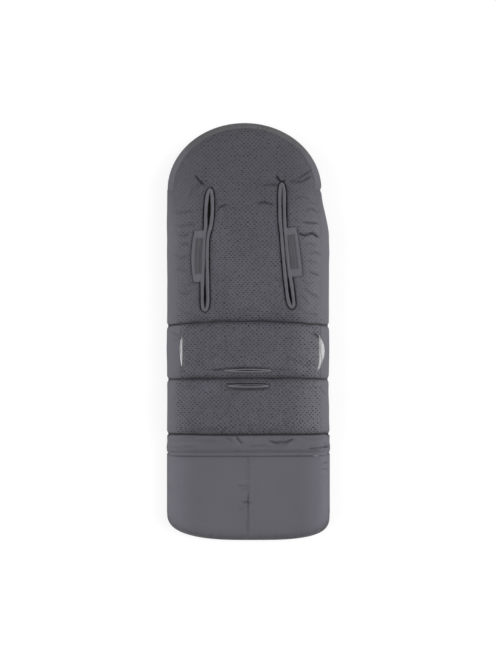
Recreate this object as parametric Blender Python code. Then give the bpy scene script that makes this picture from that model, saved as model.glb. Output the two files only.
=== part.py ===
"""Stroller footmuff, lying on its front with its back up.

Metres, +Z up, +Y towards the head end, +X to the right.
The origin is on the floor, under the middle of the footmuff's length and width.
"""

import math

import bmesh
import bpy
from mathutils import Matrix, Vector

# Lengths of the parts of the back, from the toes to the head
FOOT_LENGTH = 0.2180
BAND_LENGTH = 0.0470
LEG_LENGTH = 0.1395
SEAT_LENGTH = 0.1340
UPPER_LENGTH = 0.3390
HEAD_ARCH = 0.1675
LENGTH = FOOT_LENGTH + BAND_LENGTH + LEG_LENGTH + SEAT_LENGTH + UPPER_LENGTH + HEAD_ARCH

# Widths
WIDTH = 0.4050
FOOT_NARROWING = 0.0010
HEAD_WIDTH = 0.3850
HEAD_LEAN = 0.0087
LEFT_ROLL = 0.0340
RIGHT_ROLL = 0.0230
HEAD_ROLL = 0.0165
SHOULDER_LENGTH = 0.1150

# Running clearance between neighbours
GAP = 0.0003
OVERRUN = 0.0100

# Layers of the front cover
COVER_CLOTH = 0.0020
COVER_WADDING = 0.0100
COVER_LINING = 0.0020
COVER_LENGTH = 0.4520
COVER_WALL = 0.0020
COVER_BINDING = 0.0035

# Heights of the back
BACK_BASE = 0.0300
BACK_LINING = 0.0020
PAD_HEIGHT = 0.0257
SEAM_DROP = 0.0100
PAD_ROLL = 0.0450
PAD_CLOTH = 0.0016
SEAM_ONE_BOW = 0.0110
SEAM_TWO_BOW = 0.0025
LINING_INSET = 0.0080

# Side zips
ZIP_PITCH = 0.0060
TOOTH_BASE = 0.0042
TOOTH_TIP = 0.0018
TOOTH_HEIGHT = 0.0030
TOOTH_BITE = 0.0020
ZIP_TAPE = 0.0050
ZIP_THICK = 0.0020
ZIP_START = 0.0625
ZIP_TEETH = 63
ZIP_INSET = 0.0055

# Zip sliders and their pullers
SLIDER_LENGTH = 0.0140
SLIDER_HEIGHT = 0.0120
SLIDER_THICK = 0.0014
SLIDER_WAIST = 0.0020
PULLER_LENGTH = 0.0300
PULLER_WIDTH = 0.0070
PULLER_THICK = 0.0012
PULLER_HOLE = 0.0022
PULLER_EYE = 0.0015
PIN_RADIUS = 0.0007
LUG_WIDTH = 0.0024
LUG_THICK = 0.0012

# Slots for the harness, the crotch strap and the lap belt
SLOT_GAP = 0.0080
SLOT_WALL = 0.0020
SLOT_LIP = 0.0070
SLOT_LIP_HEIGHT = 0.0030
HARNESS_SLOT_LENGTH = 0.2900
HARNESS_SLOT_TOP = 0.1720
HARNESS_LEFT_INSET = 0.1001
HARNESS_RIGHT_INSET = 0.1086
HARNESS_LEFT_SPLAY = 0.0112
HARNESS_RIGHT_SPLAY = 0.0192
CROTCH_SLOT_LENGTH = 0.0980
CROTCH_UPPER_OFFSET = 0.0215
CROTCH_LOWER_OFFSET = 0.0175
LAP_SLOT_LENGTH = 0.0860
LAP_SLOT_OFFSET = 0.0660
LAP_SLOT_GAP = 0.0070
LAP_LIP_HEIGHT = 0.0035

# Closing tabs of the harness slots
TAB_LENGTH = 0.1260
TAB_WIDTH = 0.0320
TAB_BULGE = 0.0050
TAB_THICK = 0.0020
TAB_OFFSET = 0.1640
PATCH_LENGTH = 0.0910
PATCH_WIDTH = 0.0170
LOOP_THICK = 0.0011
LOOP_LENGTH = 0.1150

# Hood
HOOD_WALL = 0.0025
HOOD_LENGTH_BELOW_ARCH = 0.1480
HEM_RADIUS = 0.0060
HEM_BORE = 0.0036
ELASTIC_RADIUS = 0.0028
HEM_LIFT = 0.0005

# Extension band, its hidden pleat and its zip
BAND_HEIGHT = 0.0480
BAND_WALL = 0.0025
BAND_CORNER = 0.0160
EXTENSION = 0.0800
PLEAT_OVERLAP = 0.0010
PLEAT_WALL = 0.0020
PLEAT_GAP = 0.0025
PLEAT_CORNER = 0.0180
FLAP_WIDTH = 0.0100
FLAP_THICK = 0.0014
FLAP_MARGIN = 0.0180
EXTENSION_PITCH = 0.0080
EXTENSION_MARGIN = 0.0250
EXTENSION_TAPE = 0.0040
EXTENSION_ZIP_THICK = 0.0015

# Foot bag
FOOT_CLOTH = 0.0022
FOOT_WALL_HEIGHT = 0.0200
FOOT_TOP = 0.0490
FOOT_MOUTH_DROP = 0.0025
FOOT_ROLL = 0.0220
FOOT_CORNER_Y = 0.0740
FOOT_LINING = 0.0015
FOOT_LINING_INSET = 0.0300
FOOT_LINING_LIFT = 0.0400

# Places that follow from the sizes above
FOOT_END_Y = -LENGTH / 2
FOLD_Y = FOOT_END_Y + FOOT_LENGTH
BAND_SEAM_Y = FOLD_Y + BAND_LENGTH
KNEE_SEAM_Y = BAND_SEAM_Y + LEG_LENGTH
SEAT_SEAM_Y = KNEE_SEAM_Y + SEAT_LENGTH
SPRING_Y = SEAT_SEAM_Y + UPPER_LENGTH
HEAD_END_Y = SPRING_Y + HEAD_ARCH
COVER_TOP_Y = BAND_SEAM_Y + COVER_LENGTH
HALF_WIDTH = WIDTH / 2
PAD_BASE = BACK_BASE + BACK_LINING + GAP
PAD_TOP = PAD_BASE + PAD_HEIGHT
SEAM_TOP = PAD_TOP - SEAM_DROP
HINGE_Z = SEAM_TOP + SLOT_LIP_HEIGHT
ZIP_X = HALF_WIDTH - ZIP_INSET
EXTENSION_TEETH = int(2 * (HALF_WIDTH - EXTENSION_MARGIN) / EXTENSION_PITCH) - 1
BACK_ZIP_BASE = PAD_BASE - GAP - ZIP_TAPE
ZIP_BASE = BACK_ZIP_BASE - 2 * TOOTH_HEIGHT + TOOTH_BITE

SECTIONS = (
    ("leg", BAND_SEAM_Y, KNEE_SEAM_Y),
    ("seat", KNEE_SEAM_Y, SEAT_SEAM_Y),
    ("upper", SEAT_SEAM_Y, HEAD_END_Y),
)

# Roundness of the foot bag's corners: 2 is an ellipse, more is squarer
FOOT_LEFT_POWER = 2.7
FOOT_RIGHT_POWER = 3.2

# Counts
ARCH_STEPS = 20
TUBE_SIDES = 8
CORNER_STEPS = 6
SLOT_STEPS = 8
SLOT_END_STEPS = 6
FOOT_CORNER_STEPS = 16
GRID_SHARES = (0.0, 0.03, 0.08, 0.15, 0.25, 0.38, 0.5, 0.62, 0.75, 0.85, 0.92, 0.97, 1.0)
HEAD_GRID_SHARES = (0.0, 0.04, 0.12, 0.25, 0.42, 0.6, 0.72, 0.86, 1.0)
FOOT_GRID_SHARES = (0.0, 0.03, 0.12, 0.3, 0.5, 0.68, 0.8, 0.88, 0.93, 0.965, 0.985, 0.996)
FOOT_ACROSS_SHARES = (0.0, 0.012, 0.035, 0.07, 0.12, 0.2, 0.4, 0.7, 1.0)
ROLL_PROFILE_SHARES = (
    (0.0, 0.0), (0.94, 0.0), (1.0, 0.12), (1.0, 0.3), (0.9, 0.6),
    (0.7, 0.85), (0.45, 0.97), (0.2, 1.0), (0.0, 0.96),
)
BOX_PROFILE_SHARES = ((0.0, 0.0), (1.0, 0.0), (1.0, 1.0), (0.0, 1.0))


def material(name, colour, roughness, metallic=0.0):
    """Return the named material, made once."""
    if name in bpy.data.materials:
        return bpy.data.materials[name]
    made = bpy.data.materials.new(name)
    made.use_nodes = True
    shader = made.node_tree.nodes["Principled BSDF"]
    shader.inputs["Base Color"].default_value = (*colour, 1.0)
    shader.inputs["Roughness"].default_value = roughness
    shader.inputs["Metallic"].default_value = metallic
    return made


def dotted_cloth():
    return material("dotted_cloth", (0.100, 0.098, 0.118), 0.75)


def plain_nylon():
    return material("plain_nylon", (0.128, 0.125, 0.145), 0.5)


def side_nylon():
    return material("side_nylon", (0.170, 0.168, 0.190), 0.5)


def hem_cloth():
    return material("hem_cloth", (0.098, 0.098, 0.107), 0.6)


def fleece():
    return material("fleece", (0.480, 0.480, 0.490), 0.9)


def wadding():
    return material("wadding", (0.800, 0.800, 0.790), 0.95)


def zip_plastic():
    return material("zip_plastic", (0.030, 0.030, 0.034), 0.4)


def zip_metal():
    return material("zip_metal", (0.060, 0.060, 0.065), 0.3, 0.9)


def hook_tape():
    return material("hook_tape", (0.050, 0.050, 0.056), 0.9)


def rubber():
    return material("rubber", (0.040, 0.040, 0.042), 0.7)


def smooth_step(share):
    """Ease from 0 to 1 as the share goes from 0 to 1."""
    held = min(max(share, 0.0), 1.0)
    return held * held * (3 - 2 * held)


def head_share(y):
    """0 on the straight body, 1 from the springing of the head arch."""
    return smooth_step((y - SPRING_Y + SHOULDER_LENGTH) / SHOULDER_LENGTH)


def centre_x(y):
    """The head leans a little to the left."""
    return -HEAD_LEAN * head_share(y)


def half_width(y, inset=0.0):
    """Half the width of the outline at y, inset all round."""
    straight = HALF_WIDTH + (HEAD_WIDTH / 2 - HALF_WIDTH) * head_share(y) - inset
    if y <= SPRING_Y:
        return straight
    rise = min((y - SPRING_Y) / (HEAD_ARCH - inset), 1.0)
    return straight * math.sqrt(1 - rise * rise)


def roll_width(y, side):
    """Width of the plain edge beside the dotted cloth."""
    body = LEFT_ROLL if side < 0 else RIGHT_ROLL
    return body + (HEAD_ROLL - body) * head_share(y)


def panel_edge(y, side, inset=0.0):
    """Edge of the dotted cloth on the left (-1) or right (1)."""
    if y <= SPRING_Y:
        return centre_x(y) + side * (half_width(y) - roll_width(y, side) - inset)
    return centre_x(y) + side * half_width(y, HEAD_ROLL + inset)


def seam_y(seam, x):
    """Place of a cross seam at x: the seat seam bows towards the head."""
    bow = {SEAT_SEAM_Y: SEAM_ONE_BOW, KNEE_SEAM_Y: SEAM_TWO_BOW}.get(seam, 0.0)
    across = x / HALF_WIDTH
    return seam + bow * (1 - across * across)


def pad_limits(x, y):
    """Lowest and highest y of the padded section at this place."""
    if y >= seam_y(SEAT_SEAM_Y, x):
        reach = HEAD_WIDTH / 2 - HEAD_ROLL
        across = min(abs(x - centre_x(SPRING_Y)) / reach, 1.0)
        top = SPRING_Y + (HEAD_ARCH - HEAD_ROLL) * math.sqrt(1 - across * across)
        return seam_y(SEAT_SEAM_Y, x), top
    if y >= seam_y(KNEE_SEAM_Y, x):
        return seam_y(KNEE_SEAM_Y, x), seam_y(SEAT_SEAM_Y, x)
    return BAND_SEAM_Y, seam_y(KNEE_SEAM_Y, x)


def swell(distance, roll):
    """0 on a seam, 1 past the roll, along a quarter of a sine."""
    return math.sin(math.pi / 2 * min(max(distance / roll, 0.0), 1.0))


def crown(x, y, limits=None):
    """Height of the padded back at this place."""
    low, high = limits or pad_limits(x, y)
    across = min(x - panel_edge(y, -1), panel_edge(y, 1) - x)
    along = min(y - low, high - y)
    return SEAM_TOP + SEAM_DROP * swell(across, PAD_ROLL) * swell(along, PAD_ROLL)


def add_object(name, vertices, faces, made_of, parent=None, pivot=(0.0, 0.0, 0.0)):
    """Make a mesh object whose origin is at the pivot."""
    mesh = bpy.data.meshes.new(name)
    shift = Vector(pivot)
    mesh.from_pydata([Vector(vertex) - shift for vertex in vertices], [], faces)
    work = bmesh.new()
    work.from_mesh(mesh)
    bmesh.ops.recalc_face_normals(work, faces=work.faces)
    work.to_mesh(mesh)
    work.free()
    mesh.shade_smooth()
    mesh.set_sharp_from_angle(angle=math.radians(40))
    made = bpy.data.objects.new(name, mesh)
    bpy.context.collection.objects.link(made)
    mesh.materials.append(made_of)
    made.location = shift
    if parent is not None:
        made.parent = parent
        made.matrix_parent_inverse = Matrix.Translation(-parent.location)
    return made


def add_axis(name, place, parent=None):
    """Make an empty on a joint's axis."""
    made = bpy.data.objects.new(name, None)
    bpy.context.collection.objects.link(made)
    made.location = place
    if parent is not None:
        made.parent = parent
        made.matrix_parent_inverse = Matrix.Translation(-parent.location)
    return made


def prism(name, outline, low, high, made_of, parent=None, pivot=(0.0, 0.0, 0.0), axis=2):
    """Extrude an outline from low to high along X (0), Y (1) or Z (2)."""
    count = len(outline)
    vertices = []
    for level in (low, high):
        for first, second in outline:
            place = [first, second]
            place.insert(axis, level)
            vertices.append(place)
    faces = [list(range(count)), list(range(2 * count - 1, count - 1, -1))]
    for step in range(count):
        ahead = (step + 1) % count
        faces.append([step, ahead, count + ahead, count + step])
    return add_object(name, vertices, faces, made_of, parent, pivot)


def loft(name, rings, made_of, parent=None, closed=False, pivot=(0.0, 0.0, 0.0)):
    """Join rings of equal length, with end caps or end to end."""
    count = len(rings[0])
    vertices = [point for ring in rings for point in ring]
    faces = []
    last = len(rings) if closed else len(rings) - 1
    for row in range(last):
        ahead = (row + 1) % len(rings)
        for step in range(count):
            beside = (step + 1) % count
            faces.append([
                row * count + step, row * count + beside,
                ahead * count + beside, ahead * count + step,
            ])
    if not closed:
        faces.append(list(range(count)))
        faces.append([(len(rings) - 1) * count + step for step in reversed(range(count))])
    return add_object(name, vertices, faces, made_of, parent, pivot)


def pipe(name, outer_rings, inner_rings, made_of, parent=None, pivot=(0.0, 0.0, 0.0)):
    """Join an outer and an inner run of rings into a tube with open ends."""
    count = len(outer_rings[0])
    rows = len(outer_rings)
    vertices = [point for ring in outer_rings for point in ring]
    vertices += [point for ring in inner_rings for point in ring]
    faces = []
    for row in range(rows - 1):
        for step in range(count):
            beside = (step + 1) % count
            near = row * count
            far = near + count
            inner = rows * count
            faces.append([near + step, near + beside, far + beside, far + step])
            faces.append([
                inner + far + step, inner + far + beside,
                inner + near + beside, inner + near + step,
            ])
    for row in (0, rows - 1):
        for step in range(count):
            beside = (step + 1) % count
            outer = row * count
            inner = rows * count + row * count
            faces.append([outer + step, inner + step, inner + beside, outer + beside])
    return add_object(name, vertices, faces, made_of, parent, pivot)


def cut(target, cutter):
    """Take the cutter's shape out of the target."""
    modifier = target.modifiers.new("cut_" + cutter.name, "BOOLEAN")
    modifier.operation = "DIFFERENCE"
    modifier.solver = "EXACT"
    modifier.object = cutter


def as_cutter(made):
    made.hide_render = True
    made.display_type = "WIRE"
    return made


def body_outline(inset, low, high):
    """Outline of the straight body between two places along Y."""
    reach = HALF_WIDTH - inset
    return [(-reach, low), (reach, low), (reach, high), (-reach, high)]


def arch_outline(inset, low):
    """Outline of the back from a place along Y round the head."""
    right = []
    step_length = (SPRING_Y - low) / CORNER_STEPS
    for step in range(CORNER_STEPS):
        y = low + step * step_length
        right.append((centre_x(y) + half_width(y, inset), y))
    arch = []
    for step in range(ARCH_STEPS + 1):
        angle = math.pi * step / ARCH_STEPS
        across = (HEAD_WIDTH / 2 - inset) * math.cos(angle)
        along = (HEAD_ARCH - inset) * math.sin(angle)
        arch.append((centre_x(SPRING_Y) + across, SPRING_Y + along))
    left = [(2 * centre_x(y) - x, y) for x, y in reversed(right)]
    return right + arch + left


def section_levels(low_seam, high_seam, inset):
    """Places along Y of a section's rows: the head's rows follow its arch."""
    if high_seam != HEAD_END_Y:
        length = high_seam - low_seam - 2 * inset
        return [low_seam + inset + length * share for share in GRID_SHARES]
    length = SPRING_Y - low_seam - inset
    levels = [low_seam + inset + length * share for share in HEAD_GRID_SHARES]
    arch = HEAD_ARCH - HEAD_ROLL - inset
    for step in range(1, ARCH_STEPS // 2):
        levels.append(SPRING_Y + arch * math.sin(math.pi * step / ARCH_STEPS))
    return levels


def section_rows(low_seam, high_seam, inset, drop):
    """Rows of points on the padded section, inset and lowered."""
    levels = section_levels(low_seam, high_seam, inset)
    start = levels[0]
    head = high_seam == HEAD_END_Y
    end = SPRING_Y if head else levels[-1]
    rows = []
    for level in levels:
        along = min((level - start) / (end - start), 1.0)

        def place_y(x, level=level, along=along):
            low_bow = (seam_y(low_seam, x) - low_seam) * (1 - along)
            high_bow = 0.0 if head else (seam_y(high_seam, x) - high_seam) * along
            return level + low_bow + high_bow

        edges = []
        for side in (-1, 1):
            rough = panel_edge(level, side, inset)
            edges.append(panel_edge(place_y(rough), side, inset))
        row = []
        for across in GRID_SHARES:
            x = edges[0] + (edges[1] - edges[0]) * across
            y = place_y(x)
            row.append((x, y, crown(x, y, section_limits(low_seam, high_seam, x)) - drop))
        rows.append(row)
    return rows


def section_limits(low_seam, high_seam, x):
    """The section's own lowest and highest y at x."""
    if high_seam != HEAD_END_Y:
        return seam_y(low_seam, x), seam_y(high_seam, x)
    return pad_limits(x, seam_y(low_seam, x) + GAP)


def boundary(rows):
    """Indices of the points round the edge of a grid, in order."""
    height = len(rows)
    width = len(rows[0])
    near = list(range(width))
    right = [row * width + width - 1 for row in range(1, height)]
    far = [(height - 1) * width + column for column in range(width - 2, -1, -1)]
    left = [row * width for row in range(height - 2, 0, -1)]
    return near + right + far + left


def grid_faces(rows, start):
    width = len(rows[0])
    faces = []
    for row in range(len(rows) - 1):
        for column in range(width - 1):
            corner = start + row * width + column
            faces.append([corner, corner + 1, corner + width + 1, corner + width])
    return faces


def strip_faces(first, second):
    """Join two closed loops of indices."""
    count = len(first)
    faces = []
    for step in range(count):
        ahead = (step + 1) % count
        faces.append([first[step], first[ahead], second[ahead], second[step]])
    return faces


def domed_solid(name, rows, base, made_of, parent, pivot):
    """Solid under a grid of points, with a flat base."""
    vertices = [point for row in rows for point in row]
    top = boundary(rows)
    start = len(vertices)
    vertices += [(vertices[index][0], vertices[index][1], base) for index in top]
    bottom = [start + step for step in range(len(top))]
    faces = grid_faces(rows, 0) + strip_faces(top, bottom) + [bottom]
    return add_object(name, vertices, faces, made_of, parent, pivot)


def domed_cover(name, rows, inner_rows, base, made_of, parent, pivot):
    """Cloth over a pad: open underneath, closed round the edges."""
    vertices = [point for row in rows for point in row]
    inner_start = len(vertices)
    vertices += [point for row in inner_rows for point in row]
    top = boundary(rows)
    under = [inner_start + index for index in top]
    rim_start = len(vertices)
    vertices += [(vertices[index][0], vertices[index][1], base) for index in top]
    lip_start = len(vertices)
    vertices += [(vertices[index][0], vertices[index][1], base) for index in under]
    rim = [rim_start + step for step in range(len(top))]
    lip = [lip_start + step for step in range(len(top))]
    faces = grid_faces(rows, 0) + grid_faces(rows, inner_start)
    faces += strip_faces(top, rim) + strip_faces(rim, lip) + strip_faces(lip, under)
    return add_object(name, vertices, faces, made_of, parent, pivot)


def bent_plate(name, rows, inner_rows, made_of, parent, pivot):
    """Sheet between two grids of points, joined round the edge."""
    vertices = [point for row in rows for point in row]
    inner_start = len(vertices)
    vertices += [point for row in inner_rows for point in row]
    top = boundary(rows)
    under = [inner_start + index for index in top]
    faces = grid_faces(rows, 0) + grid_faces(rows, inner_start) + strip_faces(top, under)
    return add_object(name, vertices, faces, made_of, parent, pivot)


def stadium(start, end, steps=SLOT_STEPS, end_steps=SLOT_END_STEPS):
    """Points of a straight line and their outward directions, all round."""
    first = Vector(start)
    last = Vector(end)
    ahead = (last - first).normalized()
    side = Vector((ahead.y, -ahead.x))
    points = []
    for step in range(steps + 1):
        points.append((first.lerp(last, step / steps), side))
    for step in range(1, end_steps):
        angle = math.pi * step / end_steps
        points.append((last, side * math.cos(angle) + ahead * math.sin(angle)))
    for step in range(steps + 1):
        points.append((last.lerp(first, step / steps), -side))
    for step in range(1, end_steps):
        angle = math.pi * step / end_steps
        points.append((first, -side * math.cos(angle) - ahead * math.sin(angle)))
    return points


def slot_cutter(name, start, end, reach):
    """Prism through the whole back, round a slot."""
    outline = [tuple(point + out * reach) for point, out in stadium(start, end, 1)]
    made = prism(name, outline, BACK_BASE - OVERRUN, PAD_TOP + OVERRUN, hem_cloth())
    return as_cutter(made)


def bound_slot(name, start, end, parent, pivot, steps=SLOT_STEPS):
    """Binding of a slot: a sleeve through the back with a lip on top."""
    inner = SLOT_GAP / 2
    outer = inner + SLOT_WALL
    lip = outer + SLOT_LIP
    rings = []
    for point, out in stadium(start, end, steps):
        ring = []
        for reach, lift in (
            (inner, None), (outer, None), (outer, GAP), (lip, GAP),
            (lip, SLOT_LIP_HEIGHT / 2), (outer, SLOT_LIP_HEIGHT), (inner, SLOT_LIP_HEIGHT / 2),
        ):
            place = point + out * reach
            height = BACK_BASE if lift is None else crown(place.x, place.y) + lift
            ring.append((place.x, place.y, height))
        rings.append(ring)
    return loft(name, rings, hem_cloth(), parent, True, pivot)


def plain_slot(name, start, end, parent, pivot):
    """Binding of a lap belt's slot: a plain sleeve through the seam."""
    inner = LAP_SLOT_GAP / 2
    outer = inner + SLOT_WALL
    top = SEAM_TOP + LAP_LIP_HEIGHT
    rings = []
    for point, out in stadium(start, end):
        near = point + out * inner
        far = point + out * outer
        rings.append([
            (near.x, near.y, BACK_BASE), (far.x, far.y, BACK_BASE),
            (far.x, far.y, top - SLOT_WALL / 2), (near.x, near.y, top),
        ])
    return loft(name, rings, hem_cloth(), parent, True, pivot)


def comb_outline(start, teeth, offset, base, rise, tape, pitch):
    """Outline of one half of a zip: tape below its base, teeth above.

    The teeth start at start + offset, and rise is 1 or -1.
    """
    end = start + (teeth + 1) * pitch
    points = [(start, base - rise * tape), (start, base)]
    for tooth in range(teeth):
        middle = start + offset + (tooth + 0.5) * pitch
        points.append((middle - TOOTH_BASE / 2, base))
        points.append((middle - TOOTH_TIP / 2, base + rise * TOOTH_HEIGHT))
        points.append((middle + TOOTH_TIP / 2, base + rise * TOOTH_HEIGHT))
        points.append((middle + TOOTH_BASE / 2, base))
    points += [(end, base), (end, base - rise * tape)]
    return points


def side_name(side):
    return "left" if side < 0 else "right"


def build_cover():
    """Front cover, which lies on the floor: cloth, wadding, lining and walls."""
    low = BAND_SEAM_Y + GAP
    wall_inset = ZIP_INSET + ZIP_THICK + GAP
    outline = body_outline(ZIP_INSET, low, COVER_TOP_Y)
    inner = body_outline(wall_inset, low, COVER_TOP_Y)
    prism("cover_outer_cloth", outline, 0.0, COVER_CLOTH, plain_nylon())
    wadding_base = COVER_CLOTH + GAP
    lining_base = wadding_base + COVER_WADDING + GAP
    prism("cover_wadding", inner, wadding_base, wadding_base + COVER_WADDING, wadding())
    prism("cover_lining", inner, lining_base, lining_base + COVER_LINING, fleece())
    binding_low = COVER_TOP_Y + GAP
    strip = body_outline(ZIP_INSET, binding_low, binding_low + COVER_BINDING)
    prism("cover_top_binding", strip, 0.0, lining_base + COVER_LINING, hem_cloth())
    wall_top = ZIP_BASE - ZIP_TAPE - GAP
    for side in (-1, 1):
        wall = [
            (side * (ZIP_X - COVER_WALL), low), (side * ZIP_X, low),
            (side * ZIP_X, COVER_TOP_Y), (side * (ZIP_X - COVER_WALL), COVER_TOP_Y),
        ]
        prism("cover_wall_" + side_name(side), wall, COVER_CLOTH + GAP, wall_top, side_nylon())


def build_side_zips(back, pivot):
    """Zip halves of the cover and of the back, and the patches below them."""
    start = BAND_SEAM_Y + ZIP_START
    for side in (-1, 1):
        inner = side * (ZIP_X - ZIP_THICK)
        low, high = sorted((inner, side * ZIP_X))
        lower = comb_outline(start, ZIP_TEETH, 0.0, ZIP_BASE, 1, ZIP_TAPE, ZIP_PITCH)
        prism("zip_cover_" + side_name(side), lower, low, high, zip_plastic(), axis=0)
        upper = comb_outline(
            start, ZIP_TEETH, ZIP_PITCH / 2, BACK_ZIP_BASE, -1, ZIP_TAPE, ZIP_PITCH)
        prism("zip_back_" + side_name(side), upper, low, high, zip_plastic(), back, pivot, 0)
        patch = [
            (BAND_SEAM_Y + GAP, ZIP_BASE - ZIP_TAPE), (start - GAP, ZIP_BASE - ZIP_TAPE),
            (start - GAP, BACK_ZIP_BASE + ZIP_TAPE), (BAND_SEAM_Y + GAP, BACK_ZIP_BASE),
        ]
        prism("zip_end_patch_" + side_name(side), patch, low, high, side_nylon(), axis=0)


def slider_outline(length, height):
    """Outline of a slider's plate: full at the front, drawn in at the back."""
    half = height / 2
    return [
        (-length / 2, -half + SLIDER_WAIST), (0.0, -half), (length / 2, -half),
        (length / 2, half), (0.0, half), (-length / 2, half - SLIDER_WAIST),
    ]


def round_outline(centre, radius):
    """Corners of a circle."""
    points = []
    for step in range(2 * CORNER_STEPS):
        angle = math.pi * step / CORNER_STEPS
        points.append((
            centre[0] + radius * math.cos(angle), centre[1] + radius * math.sin(angle)))
    return points


def join(target, tool):
    """Fuse the tool's shape with the target."""
    modifier = target.modifiers.new("join_" + tool.name, "BOOLEAN")
    modifier.operation = "UNION"
    modifier.solver = "EXACT"
    modifier.object = as_cutter(tool)


def box(name, low, high, made_of, parent=None, pivot=(0.0, 0.0, 0.0)):
    """Box between two corners, given in any order."""
    ends = [sorted(pair) for pair in zip(low, high)]
    outline = [
        (ends[0][0], ends[1][0]), (ends[0][1], ends[1][0]),
        (ends[0][1], ends[1][1]), (ends[0][0], ends[1][1]),
    ]
    return prism(name, outline, ends[2][0], ends[2][1], made_of, parent, pivot)


def build_slider(side, y, z):
    """Slider plate with two lugs and a pin, at the chest end of a side zip."""
    name = "slider_" + side_name(side)
    near = ZIP_X + GAP
    far = near + SLIDER_THICK
    pivot = (side * near, y, z)
    axis = add_axis(name + "_axis", pivot)
    outline = [(y + a, z + b) for a, b in slider_outline(SLIDER_LENGTH, SLIDER_HEIGHT)]
    low, high = sorted((side * near, side * far))
    plate = prism(name, outline, low, high, zip_metal(), axis, pivot, 0)
    pin_x = side * (far + GAP + PULLER_EYE)
    pin_y = y + LUG_WIDTH
    reach = PULLER_WIDTH / 2 + GAP
    for label, end in (("lower", -1), ("upper", 1)):
        lug = box(
            name + "_lug_" + label,
            (side * (far - SLIDER_THICK / 2), pin_y - LUG_WIDTH / 2, z + end * reach),
            (pin_x + side * LUG_WIDTH / 2, pin_y + LUG_WIDTH / 2, z + end * (reach + LUG_THICK)),
            zip_metal())
        join(plate, lug)
    pin = prism(
        name + "_pin", round_outline((pin_x, pin_y), PIN_RADIUS), z - reach - LUG_THICK / 2,
        z + reach + LUG_THICK / 2, zip_metal())
    join(plate, pin)
    return axis, (pin_x, pin_y, z)


def build_puller(side, axis, hinge):
    """Flat puller with an eye round the slider's pin and a hole at its tip."""
    name = "puller_" + side_name(side)
    swing = add_axis(name + "_axis", hinge, axis)
    half = PULLER_WIDTH / 2
    x, y, z = hinge
    eye = prism(
        name, round_outline((x, y), PULLER_EYE), z - half, z + half, zip_metal(), swing, hinge)
    arm = box(
        name + "_arm", (x - PULLER_THICK / 2, y, z - half),
        (x + PULLER_THICK / 2, y - PULLER_LENGTH, z + half), zip_metal())
    join(eye, arm)
    bore = prism(
        name + "_bore", round_outline((x, y), PIN_RADIUS + GAP), z - half - OVERRUN,
        z + half + OVERRUN, zip_metal())
    cut(eye, as_cutter(bore))
    tip = round_outline((y - PULLER_LENGTH + 2 * PULLER_HOLE, z), PULLER_HOLE)
    hole = prism(
        name + "_hole", tip, x - OVERRUN, x + OVERRUN, zip_metal(), axis=0)
    cut(eye, as_cutter(hole))


def build_sliders():
    """Slider and puller of each side zip, at the closed end by the chest."""
    chain_end = BAND_SEAM_Y + ZIP_START + (ZIP_TEETH + 1) * ZIP_PITCH
    y = chain_end - SLIDER_LENGTH / 2
    z = (ZIP_BASE + BACK_ZIP_BASE) / 2
    for side in (-1, 1):
        axis, hinge = build_slider(side, y, z)
        build_puller(side, axis, hinge)


def build_back(back, pivot):
    """Padded sections of the back, each with its cloth and its wadding."""
    made = {}
    for label, low, high in SECTIONS:
        outer = section_rows(low, high, GAP / 2, 0.0)
        under = section_rows(low, high, GAP / 2 + PAD_CLOTH, PAD_CLOTH)
        core = section_rows(low, high, GAP * 2 + PAD_CLOTH, PAD_CLOTH + GAP * 2)
        made[label + "_cover"] = domed_cover(
            label + "_pad_cover", outer, under, PAD_BASE, dotted_cloth(), back, pivot)
        made[label + "_wadding"] = domed_solid(
            label + "_pad_wadding", core, PAD_BASE, wadding(), back, pivot)
    made["lining"] = prism(
        "back_lining", arch_outline(LINING_INSET, BAND_SEAM_Y + GAP), BACK_BASE,
        BACK_BASE + BACK_LINING, fleece(), back, pivot)
    return made


def roll_ring(inner, outer, low, high, profile):
    """Ring of points of a profile set between two places in plan."""
    ring = []
    for across, up in profile:
        ring.append((
            inner[0] + (outer[0] - inner[0]) * across,
            inner[1] + (outer[1] - inner[1]) * across,
            low + (high - low) * up,
        ))
    return ring


def edge_places(side):
    """Places along a padded side, from the band to the springing of the head."""
    places = []
    for label, low, high in SECTIONS:
        for row in section_rows(low, high, GAP / 2, 0.0):
            x, y, z = row[0] if side < 0 else row[-1]
            fresh = not places or y - places[-1][1] > 2 * GAP
            if fresh and y < SPRING_Y:
                places.append((x, y))
    places[0] = (places[0][0], BAND_SEAM_Y + GAP)
    places.append((panel_edge(SPRING_Y, side, GAP / 2), SPRING_Y - GAP))
    return places


def build_edges(back, pivot):
    """Plain rolled edges along both sides and round the head."""
    made = {}
    for side in (-1, 1):
        rings = []
        for inner_x, y in edge_places(side):
            inner = (inner_x + side * GAP, y)
            outer = (centre_x(y) + side * half_width(y), y)
            rings.append(roll_ring(inner, outer, PAD_BASE, SEAM_TOP, ROLL_PROFILE_SHARES))
        made[side] = loft("edge_roll_" + side_name(side), rings, side_nylon(), back, False, pivot)
    rings = []
    middle = centre_x(SPRING_Y)
    for step in range(ARCH_STEPS + 1):
        angle = math.pi * step / ARCH_STEPS
        ends = []
        for inset in (HEAD_ROLL - GAP, 0.0):
            across = (HEAD_WIDTH / 2 - inset) * math.cos(angle)
            along = (HEAD_ARCH - inset) * math.sin(angle)
            ends.append((middle + across, SPRING_Y + along))
        rings.append(roll_ring(ends[0], ends[1], PAD_BASE, SEAM_TOP, ROLL_PROFILE_SHARES))
    loft("hood_rim", rings, hem_cloth(), back, False, pivot)
    return made


def hood_path(inset):
    """Places along the hood's foot, from the right round the head to the left."""
    low = SPRING_Y - HOOD_LENGTH_BELOW_ARCH
    return arch_outline(inset, low)


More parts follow.
